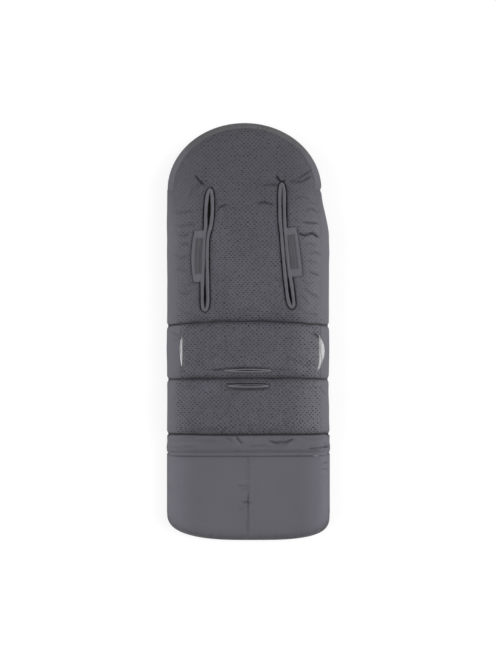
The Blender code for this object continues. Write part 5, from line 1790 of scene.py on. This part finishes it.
def build_back_fleece():
    """Fleece lining of the back, with the slots through it."""
    inset = HALF_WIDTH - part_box("back_lining")[1].x
    columns, rows = 150, 260
    across = np.sin(np.pi / 2 * np.linspace(-1, 1, columns))[None, :]
    top = SPRING_Y + (HEAD_ARCH - inset - HOOD_TUCK) * np.sqrt(np.maximum(1 - across ** 2, 0))
    low = BAND_SEAM_Y + GAP
    y = low + (top - low) * shares(rows, 0.3)[:, None]
    held = np.minimum(y, SPRING_Y)
    tuck = HOOD_TUCK * smooth((y - SKIRT_LOW_Y + 0.008) / 0.008)
    tuck += END_TUCK * smooth((END_TUCK_Y - y) / 0.010)
    x = centre_x(held) + across * (half_width(held) - inset - tuck)
    curls = layered(x, y, *BACK_CURLS)
    rise = 0.0014 * bell(y - knee_seam(x), 0.006) + 0.0014 * bell(y - seat_seam(x), 0.006)
    soft = smooth(np.minimum(edge_distance(x, y) - inset, y - low) / 0.006)
    z = LINING_BASE + 0.0007 * (1 - soft) + (curls + 0.0007 + rise * 0.5) * soft
    lining = sheet_between("back_fleece", x, y, np.full_like(x, LINING_TOP), z)
    link(lining, "back", FLEECE_CLOTH)
    cutters = []
    inward = [(loop, HARNESS_LINING_HOLE) for loop in HARNESS_LOOPS.values()]
    inward += [(loop, 0.0) for loop in CROTCH_LOOPS.values()]
    inward += [(loop, 0.0) for loop in LAP_LENSES.values()]
    for number, (loop, reach) in enumerate(inward):
        outline = slot_outline(loop, reach)
        cutters.append(cutter_from_loop("cutter_lining_%d" % number, outline, *LINING_CUT))
    cut_with(lining, cutters)
    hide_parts("back_lining")


HOOD_STEPS = 620
HOOD_INSET = 0.0092
SKIRT_HALF_THICK = 0.0007
SKIRT_STEPS = 8
HEM_SIDES = 20


def hood_route(inset, start_y):
    """Places round the hood, from its right foot round the head to the left one."""
    straight = SPRING_Y - start_y
    curve = 1.2 * (HEAD_HALF + HEAD_ARCH)
    share = np.linspace(0, 1, HOOD_STEPS)
    along = share * (2 * straight + curve)
    angle = np.pi * np.clip((along - straight) / curve, 0, 1)
    y_side = start_y + np.where(share < 0.5, along, 2 * straight + curve - along)
    on_side = (along < straight) | (along > straight + curve)
    held = np.minimum(y_side, SPRING_Y)
    side = np.where(share < 0.5, 1, -1)
    x_side = centre_x(held) + side * (half_width(held) - inset)
    x_arch = centre_x(SPRING_Y) + (HEAD_HALF - inset) * np.cos(angle)
    y_arch = SPRING_Y + (HEAD_ARCH - inset) * np.sin(angle)
    points = np.column_stack([np.where(on_side, x_side, x_arch),
                              np.where(on_side, y_side, y_arch)])
    return points, along


def hood_wave(along):
    """Gathers along the hood."""
    wave = np.sin(along * 560 + 2.4 * line_noise(along, 0.04, 101))
    return wave + 0.5 * np.sin(along * 233 + 1.3)


def build_hood_skirt():
    """Gathered wall of the hood, folded in under the head."""
    points, along = hood_route(HOOD_INSET, SKIRT_LOW_Y)
    _, right = route_normals(points)
    strength = 0.7 + 0.3 * line_noise(along, 0.06, 103)
    rings = []
    for (x, y), (rx, ry), sway, force in zip(points, right, hood_wave(along), strength):
        outer, inner = [], []
        over_cover = 1 - float(smooth((y - HEM_LOW_Y + 0.0024) / 0.0024))
        low = SKIRT_LOW + (SKIRT_END_LOW - SKIRT_LOW) * over_cover
        for share in np.linspace(0, 1, SKIRT_STEPS):
            z = SKIRT_HIGH + (low - SKIRT_HIGH) * share
            out = 0.0012 * sway * force * smooth(share * 1.3) + 0.0022 * math.sin(np.pi * share)
            outer.append((x + rx * (out + SKIRT_HALF_THICK), y + ry * (out + SKIRT_HALF_THICK), z))
            inner.append((x + rx * (out - SKIRT_HALF_THICK), y + ry * (out - SKIRT_HALF_THICK), z))
        rings.append(outer + inner[::-1])
    skirt = loft_rings("hood_skirt", rings)
    link(skirt, "back", HEM_CLOTH)
    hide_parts("hood_wall")


def build_hood_hem():
    """Ruched hem of the hood, round its elastic."""
    low_box, high_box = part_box("hood_hem")
    centre = (low_box.z + high_box.z) / 2
    radius = (high_box.z - low_box.z) / 2
    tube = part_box("hood_elastic")
    bore = (tube[1].z - tube[0].z) / 2 + 0.0004
    outer, inner = [], []
    angles = np.linspace(0, math.tau, HEM_SIDES, endpoint=False)
    points, along = hood_route(HOOD_INSET, HEM_LOW_Y)
    _, right = route_normals(points)
    for (x, y), (rx, ry), sway, step in zip(points, right, hood_wave(along), along):
        ruche = radius - 0.0007 + 0.0006 * sway
        lobes = 1 + 0.04 * np.sin(3 * angles + step * 300)
        reach = np.minimum(ruche * lobes, radius)
        outer.append([(x + rx * r * math.cos(a), y + ry * r * math.cos(a), centre + r * math.sin(a))
                      for a, r in zip(angles, reach)])
        inner.append([(x + rx * bore * math.cos(a), y + ry * bore * math.cos(a),
                       centre + bore * math.sin(a)) for a in angles])
    hem = pipe_rings("hood_hem_cloth", outer, inner)
    link(hem, "back", HEM_CLOTH)
    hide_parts("hood_hem")


COVER_LOW_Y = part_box("cover_outer_cloth")[0].y
COVER_HIGH_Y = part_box("cover_outer_cloth")[1].y
COVER_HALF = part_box("cover_outer_cloth")[1].x
COVER_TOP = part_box("cover_wadding")[1].z
COVER_WALL_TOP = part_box("cover_wall_left")[1].z
COVER_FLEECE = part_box("cover_lining")
COVER_BULGE = 0.0018
COVER_EDGE_Z = 0.0042
COVER_ROWS = 190
COVER_COLUMNS = 90
COVER_END_ROUND = 0.008
COVER_SIDE_ROUND = 0.010
COVER_CROWN = 0.0038
COVER_CHANNEL_RISE = 0.0034
COVER_CHANNELS = (-0.145, -0.030, 0.085)


def build_cover():
    """Padded front cover with soft sides, lying on the floor."""
    levels = COVER_LOW_Y + (COVER_HIGH_Y - COVER_LOW_Y) * shares(COVER_ROWS, 0.5)
    across = np.sin(np.pi / 2 * np.linspace(-1, 1, COVER_COLUMNS))
    rings = []
    for y in levels:
        ends = min(y - COVER_LOW_Y, COVER_HIGH_Y - y)
        round_end = float(quarter(np.array(ends), COVER_END_ROUND))
        x = across * (COVER_HALF - 0.004)
        channel = sum(bell(y - at, 0.0050) for at in COVER_CHANNELS)
        inside = quarter(COVER_HALF - np.abs(x), COVER_SIDE_ROUND)
        z = COVER_EDGE_Z - COVER_CROWN * inside * round_end + COVER_CHANNEL_RISE * channel * inside
        z += 0.0003 * (1 + value_noise(x, np.full_like(x, y), 0.05, 111))
        bulge = COVER_BULGE * (0.55 + 0.45 * math.cos(y * 34)) - 0.0012 * channel
        sides = []
        for share in np.linspace(0, 1, 9)[1:]:
            rise = COVER_EDGE_Z + (COVER_WALL_TOP - COVER_EDGE_Z) * share
            out = COVER_HALF - 0.0016 * (1 - share) ** 2 + bulge * math.sin(np.pi * share)
            sides.append((out, rise))
        inner = [(COVER_HALF - 0.0022, COVER_WALL_TOP), (COVER_HALF - 0.0024, COVER_TOP + 0.003),
                 (COVER_HALF - 0.0044, COVER_TOP)]
        ring = [(a, y, b) for a, b in zip(x, z)]
        ring += [(a, y, b) for a, b in sides + inner]
        ring += [(-a, y, b) for a, b in inner[::-1] + sides[::-1]]
        rings.append(ring)
    cover = loft_rings("front_cover", rings)
    link(cover, "root", PLAIN_CLOTH)
    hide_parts("cover_outer_cloth", "cover_wadding", "cover_wall_left", "cover_wall_right")


def build_cover_fleece():
    """Fleece lining of the front cover."""
    low, high = COVER_FLEECE
    x = (np.linspace(-1, 1, 130) * (high.x - 0.0004))[None, :]
    y = (low.y + (high.y - low.y) * np.linspace(0, 1, 150))[:, None]
    x, y = x + 0 * y, y + 0 * x
    soft = smooth(np.minimum(high.x - np.abs(x), np.minimum(y - low.y, high.y - y)) / 0.008)
    dips = sum(bell(y - at, 0.006) for at in COVER_CHANNELS)
    z = high.z - 0.0008 + (0.0006 + 0.0003 * value_noise(x, y, 0.006, 113)
                           + 0.0004 * value_noise(x, y, 0.03, 117) - 0.0008 * dips) * soft
    fleece = sheet_between("cover_fleece", x, y, z, low.z)
    link(fleece, "root", FLEECE_CLOTH)
    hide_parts("cover_lining")


def build_cover_edge():
    """Bound top edge of the front cover."""
    low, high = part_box("cover_top_binding")
    rings = []
    for x in np.linspace(low.x, high.x, 200):
        wave = 0.0002 * math.sin(x * 160) + 0.0001 * math.sin(x * 410 + 1)
        turn = np.linspace(-90, 90, 12)
        depth = high.y - low.y + wave
        middle = (low.z + high.z) / 2
        tall = (high.z - low.z) / 2
        ring = [(x, low.y + depth * math.cos(math.radians(a)) ** 0.7,
                 middle + tall * math.sin(math.radians(a))) for a in turn]
        ring[0] = (x, low.y, low.z)
        ring[-1] = (x, low.y, high.z)
        rings.append(ring)
    edge = loft_rings("cover_edge_binding", rings)
    link(edge, "root", HEM_CLOTH)
    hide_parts("cover_top_binding")


PLEAT_LOW, PLEAT_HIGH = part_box("pleat_sleeve")
PLEAT_ROWS = 100
PLEAT_COLUMNS = 121
PLEAT_PITCH = 0.0102
# How much wider, lower and higher the pleat's ends are: -Y end, then +Y end
PLEAT_FLARES = ((0.0014, 0.0028, -0.0014), (0.0001, 0.0022, -0.0008))
PLEAT_FLARE_REACH = 0.0050
PLEAT_TONGUE = 0.0048
PLEAT_THICK = 0.0010


def build_pleat():
    """Sleeve of folded cloth that the foot bag draws out."""
    across = crowded(PLEAT_COLUMNS, 0.65)
    middle = (PLEAT_LOW.z + PLEAT_HIGH.z) / 2
    tall = (PLEAT_HIGH.z - PLEAT_LOW.z) / 2
    outer, inner = [], []
    for y in np.linspace(PLEAT_LOW.y, PLEAT_HIGH.y, PLEAT_ROWS):
        phase = math.tau * (y - PLEAT_LOW.y) / PLEAT_PITCH
        to_end = min(y - PLEAT_LOW.y, PLEAT_HIGH.y - y)
        spread = 1 - float(smooth(to_end / PLEAT_FLARE_REACH))
        flares = PLEAT_FLARES[int(y > (PLEAT_LOW.y + PLEAT_HIGH.y) / 2)]
        side, below, above = [spread * reach for reach in flares]
        half = PLEAT_HIGH.x + side
        x = across * half
        fold = np.sin(phase + 0.9 * line_noise(x, 0.07, 121))
        fold = np.sign(fold) * np.abs(fold) ** 0.7
        shrink = 0.0011 * (1 - fold) + 0.0004 * (1 + value_noise(x, np.full_like(x, y), 0.02, 123))
        shrink = shrink * (1 - spread)
        round_share = quarter(half - np.abs(x), tall * 1.1)
        top = middle + (tall + above - shrink) * round_share
        low = middle - (tall + below - shrink) * round_share
        wide = x * (1 - 0.0011 * (1 - fold) * (1 - spread) / PLEAT_HIGH.x)
        wide = wide + (fuller(wide) - wide) * spread
        ring_x, ring_y, ring_z = flat_ring(wide, y, top, low)
        under = 1 - smooth((ring_z - middle - 0.004) / 0.008)
        tongue = PLEAT_TONGUE * spread * under * (y > (PLEAT_LOW.y + PLEAT_HIGH.y) / 2)
        outer.append(np.column_stack([ring_x, ring_y + tongue, ring_z]))
        inner.append(thinner_ring(outer[-1], y, middle, PLEAT_THICK))
    pleat = link(pipe_rings("pleat_cloth", outer, inner), "pleat", PLAIN_CLOTH)
    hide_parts("pleat_sleeve")


def build_foot_fleece():
    """Fleece sheets inside the foot bag."""
    for node, way in (("foot_lining_front", -1), ("foot_lining_back", 1)):
        low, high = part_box(node)
        inset = FOOT_HALF - high.x
        across = np.sin(np.pi / 2 * np.linspace(-1, 1, 90))[None, :]
        x = across * high.x
        share = np.clip(np.abs(x) / high.x, 0, 1)
        power = foot_power(x)
        depth = FOOT_CORNER_Y - inset
        end = low.y + depth * (1 - (1 - share ** power) ** (1 / power))
        y = end + (high.y - end) * shares(60, 0.4)[:, None]
        x = x + 0 * y
        curls = layered(x, y, *FOOT_CURLS)
        thick = high.z - low.z - 0.0006
        base = low.z + 0.0003 * (1 - way)
        relief = curls * smooth((high.x - np.abs(x)) / 0.006)
        top = base + thick + (relief if way < 0 else 0 * relief)
        under = base + (relief if way > 0 else 0 * relief)
        sheet = sheet_between(node.replace("lining", "fleece"), x, y, top, under)
        link(sheet, "foot_bag", FLEECE_CLOTH)
        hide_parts(node)


STITCH_WIDTH = 0.00055
STITCH_SIDES = 6
# Places along a stitch and how fat it is there, as shares
STITCH_PROFILE = ((-0.5, 0.15), (-0.3, 0.8), (0.0, 1.0), (0.3, 0.8), (0.5, 0.15))
# Stitching beside the crotch slots: half its width, and the place along Y of its two ends
CROTCH_FRAME_X = 0.0560
CROTCH_FRAME_Y = (-0.1420, -0.0950)


def stitch_row(name, places, body, pitch=0.0032, lift=0.0002, level=None):
    """Row of small stitches along a flat route, each a raised bead of thread."""
    route_points = smooth_route(places, pitch)
    ahead, right = route_normals(route_points)
    points, faces = [], []
    for (x, y), (ax, ay), (rx, ry) in zip(route_points, ahead, right):
        height = surface_z(x, y) if level is None else float(level(np.array(x), np.array(y)))
        first = len(points)
        for share, fat in STITCH_PROFILE:
            along = share * pitch * 0.72
            sink = STITCH_WIDTH * (1 - fat)
            for turn in range(STITCH_SIDES):
                angle = math.tau * turn / STITCH_SIDES
                reach = STITCH_WIDTH * fat * math.cos(angle)
                points.append((x + ax * along + rx * reach, y + ay * along + ry * reach,
                               height + lift - sink + STITCH_WIDTH * fat * math.sin(angle)))
        last = first + (len(STITCH_PROFILE) - 1) * STITCH_SIDES
        for start in range(first, last, STITCH_SIDES):
            for turn in range(STITCH_SIDES):
                a = start + turn
                b = start + (turn + 1) % STITCH_SIDES
                faces.append((a, b, b + STITCH_SIDES, a + STITCH_SIDES))
        faces.append(tuple(range(first, first + STITCH_SIDES)))
        faces.append(tuple(range(last, last + STITCH_SIDES))[::-1])
    return link(mesh_object(name, points, faces), body, THREAD_CLOTH)


def build_extension_flap():
    """Cloth flap over the extension zip, sewn to the band."""
    half = FOOT_HALF - FLAP_INSET
    x = np.linspace(-half, half, FLAP_COLUMNS)[None, :]
    v = np.linspace(0, 1, FLAP_ROWS)[:, None]
    waver = FLAP_WAVER * line_noise(x, 0.05, 81)
    dip = FLAP_DIP * (1 - (x / half) ** 2)
    top_y = FLAP_TOP_Y + waver
    free_y = FLAP_FREE_Y + waver - dip
    y = top_y + (free_y - top_y) * v
    x = x + 0 * y
    rise = quarter(FOOT_HALF - np.abs(x), FOOT_ROUND)
    lift = FLAP_LIFT * smooth(v / 0.35) - FLAP_DITCH * bell(v - 0.42, 0.07)
    lift = lift - FLAP_EDGE_FALL * smooth((v - 0.85) / 0.15)
    z = sleeve_top(x) + FLAP_OFF + lift * (0.4 + 0.6 * rise)
    z += 0.0004 * value_noise(x, y, 0.018, 83) * rise
    flap = sheet_between("extension_flap_cloth", x, y, z, z - FLAP_THICK)
    link(flap, "root", BAND_SHADED_CLOTH)
    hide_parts("extension_flap")


def tab_level(label):
    """Function that gives a closing tab's height at a place."""
    tab = bpy.data.objects["closing_tab_" + label]
    tree = BVHTree.FromPolygons([v.co[:] for v in tab.data.vertices],
                                [p.vertices[:] for p in tab.data.polygons])
    return lambda x, y: hit_height(tree, float(x), float(y), PAD_TOP)


def band_level(x, y):
    return band_height(np.atleast_1d(x), np.atleast_1d(y))[0]


def foot_level(x, y):
    return foot_top(np.atleast_1d(x), np.atleast_1d(y))[0]


def build_stitches():
    """Visible rows of thread."""
    for label in TABS:
        (low_u, high_u), (low_v, high_v) = TAB_PATCH
        corners = ((1 - high_u, low_v), (1 - high_u, high_v), (1 - low_u, high_v), (1 - low_u, low_v))
        level = tab_level(label)
        for number in range(4):
            (u0, v0), (u1, v1) = corners[number], corners[(number + 1) % 4]
            places = []
            for t in np.linspace(0.02, 0.98, 7):
                x, y = tab_place(label, np.array([[u0 + (u1 - u0) * t]]),
                                 np.array([[v0 + (v1 - v0) * t]]))
                places.append((float(x[0, 0]), float(y[0, 0])))
            stitch_row("tab_stitch_%s_%d" % (label, number), places, "flap_" + label,
                       level=level, lift=0.0)
    wide = FOOT_HALF - 0.012
    stitch_row("band_stitch", [(x, FLAP_TOP_Y + 0.0020) for x in np.linspace(-wide, wide, 20)],
               "root", level=band_level)
    for side in (-1, 1):
        places = [(foot_seam_x(y) + side * 0.0034, y)
                  for y in np.linspace(FOLD_Y - 0.012, FOOT_END_Y + 0.030, 12)]
        stitch_row("foot_stitch_%d" % (side + 2), places, "foot_bag", level=foot_level)
    for side, label in ((-1, "left"), (1, "right")):
        places = [(float(panel_edge(y, side)) - side * 0.0028, y)
                  for y in np.linspace(KNEE_SEAM_Y + 0.008, SEAT_SEAM_Y - 0.006, 14)
                  if abs(y + 0.050) > 0.050]
        for number in range(2):
            part = [place for place in places if (place[1] > -0.050) == (number == 1)]
            stitch_row("panel_stitch_%s_%d" % (label, number), part, "back")
    frame_low, frame_high = CROTCH_FRAME_Y
    for side in (-1, 1):
        for number, (low, high) in enumerate(((KNEE_SEAM_Y + 0.008, frame_high),
                                              (frame_low, KNEE_SEAM_Y - 0.006))):
            places = [(side * CROTCH_FRAME_X, y) for y in np.linspace(low, high, 5)]
            stitch_row("crotch_stitch_%d_%d" % (side + 2, number), places, "back")
    head = [(float(centre_x(SPRING_Y)) + (HEAD_HALF - HEAD_ROLL - 0.0030) * math.cos(a),
             SPRING_Y + (HEAD_ARCH - HEAD_ROLL - 0.0030) * math.sin(a))
            for a in np.linspace(0.08, math.pi - 0.08, 40)]
    stitch_row("head_stitch", head, "back")


def dress_nodes():
    """Better materials on the nodes whose own shape is shown."""
    rows = moulded_teeth("side_zip_rows", 0.0238, 0.0262, 2)
    cross = moulded_teeth("extension_zip_rows", FOLD_Y - 0.0012, FOLD_Y + 0.0012, 1)
    looks = {
        "zip_cover_left": rows, "zip_cover_right": rows, "zip_back_left": rows,
        "zip_back_right": rows, "extension_zip_band": cross, "extension_zip_foot": cross,
        "extension_slider": METAL_PAINT, "slider_left": METAL_PAINT, "slider_right": METAL_PAINT,
        "puller_left": METAL_PAINT, "puller_right": METAL_PAINT, "hood_elastic": ELASTIC,
        "zip_end_patch_left": HEM_CLOTH, "zip_end_patch_right": HEM_CLOTH,
    }
    for node, made_of in looks.items():
        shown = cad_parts[node]
        for mesh_slot in shown.material_slots:
            mesh_slot.material = made_of
        if not shown.material_slots:
            shown.data.materials.append(made_of)


# Broad soft lights: name, where from, strength, and spread in degrees
SOFT_LIGHTS = (
    ("key_light", (1.0, 0.25, 1.6), 0.45, 50.0),
    ("right_light", (2.2, 0.4, 1.0), 2.10, 55.0),
    ("left_light", (-2.2, -0.2, 1.0), 1.90, 55.0),
)
SKY_STRENGTH = 0.29
CAMERA_REACH = 40.0
FLOOR_HALF = 12.0
FLOOR_DROP = 0.0004


def larger(tree, first, second):
    """Larger of two node values."""
    node = tree.nodes.new("ShaderNodeMath")
    node.operation = "MAXIMUM"
    tree.links.new(first, node.inputs[0])
    tree.links.new(second, node.inputs[1])
    return node.outputs[0]


def white_light(tree, strength):
    node = tree.nodes.new("ShaderNodeBackground")
    node.inputs["Color"].default_value = (1.0, 1.0, 1.0, 1.0)
    node.inputs["Strength"].default_value = strength
    return node.outputs[0]


def build_camera():
    """Camera straight above the middle."""
    camera_data = bpy.data.cameras.new("camera")
    camera_data.lens = CAMERA_LENS
    camera_data.sensor_width = SENSOR
    camera_data.sensor_fit = "AUTO"
    camera_data.clip_end = CAMERA_REACH
    camera = bpy.data.objects.new("camera", camera_data)
    camera.location = (0.0, 0.0, CAMERA_HEIGHT)
    bpy.context.scene.collection.objects.link(camera)
    bpy.context.scene.camera = camera


def build_lights():
    for name, place, strength, spread in SOFT_LIGHTS:
        light = bpy.data.lights.new(name, "SUN")
        light.energy = strength
        light.angle = math.radians(spread)
        lamp = bpy.data.objects.new(name, light)
        lamp.location = place
        lamp.rotation_euler = (-Vector(place)).to_track_quat("-Z", "Y").to_euler()
        bpy.context.scene.collection.objects.link(lamp)


def build_surroundings():
    """World that lights softly and looks white to the camera and in gloss."""
    world = bpy.data.worlds.new("surroundings")
    bpy.context.scene.world = world
    world.use_nodes = True
    tree = world.node_tree
    tree.nodes.clear()
    output = tree.nodes.new("ShaderNodeOutputWorld")
    rays = tree.nodes.new("ShaderNodeLightPath").outputs
    glossy = larger(tree, rays["Is Glossy Ray"], rays["Is Transmission Ray"])
    seen = larger(tree, rays["Is Camera Ray"], glossy)
    blend = tree.nodes.new("ShaderNodeMixShader")
    sources = (seen, white_light(tree, SKY_STRENGTH), white_light(tree, 1.0))
    for target, source in zip(blend.inputs, sources):
        tree.links.new(source, target)
    tree.links.new(blend.outputs[0], output.inputs["Surface"])


def build_floor():
    """Pale floor that takes shadows and looks white to the camera."""
    size = FLOOR_HALF
    floor = mesh_object(
        "floor", [(-size, -size, 0), (size, -size, 0), (size, size, 0), (-size, size, 0)],
        [(0, 1, 2, 3)])
    floor.location.z = -FLOOR_DROP
    made = bpy.data.materials.new("pale_floor")
    made.use_nodes = True
    tree = made.node_tree
    tree.nodes.clear()
    output = tree.nodes.new("ShaderNodeOutputMaterial")
    matt = tree.nodes.new("ShaderNodeBsdfDiffuse")
    matt.inputs["Color"].default_value = (*FLOOR, 1.0)
    glow = tree.nodes.new("ShaderNodeEmission")
    rays = tree.nodes.new("ShaderNodeLightPath").outputs
    tree.links.new(rays["Is Camera Ray"], glow.inputs["Strength"])
    glow.inputs["Color"].default_value = (*FLOOR_GLOW, 1.0)
    both = tree.nodes.new("ShaderNodeAddShader")
    tree.links.new(matt.outputs[0], both.inputs[0])
    tree.links.new(glow.outputs[0], both.inputs[1])
    tree.links.new(both.outputs[0], output.inputs["Surface"])
    link(floor, None, made)


build_camera()
build_lights()
build_surroundings()
build_floor()
bpy.context.scene.view_settings.view_transform = "Standard"
build_pads()
build_rolls()
build_head_rim()
build_foot()
build_band()
build_bindings()
build_lap_facings()
build_tabs()
build_extension_flap()
build_slot_facings()
build_back_fleece()
build_hood_skirt()
build_hood_hem()
build_cover()
build_cover_fleece()
build_cover_edge()
build_pleat()
build_foot_fleece()
build_stitches()
dress_nodes()
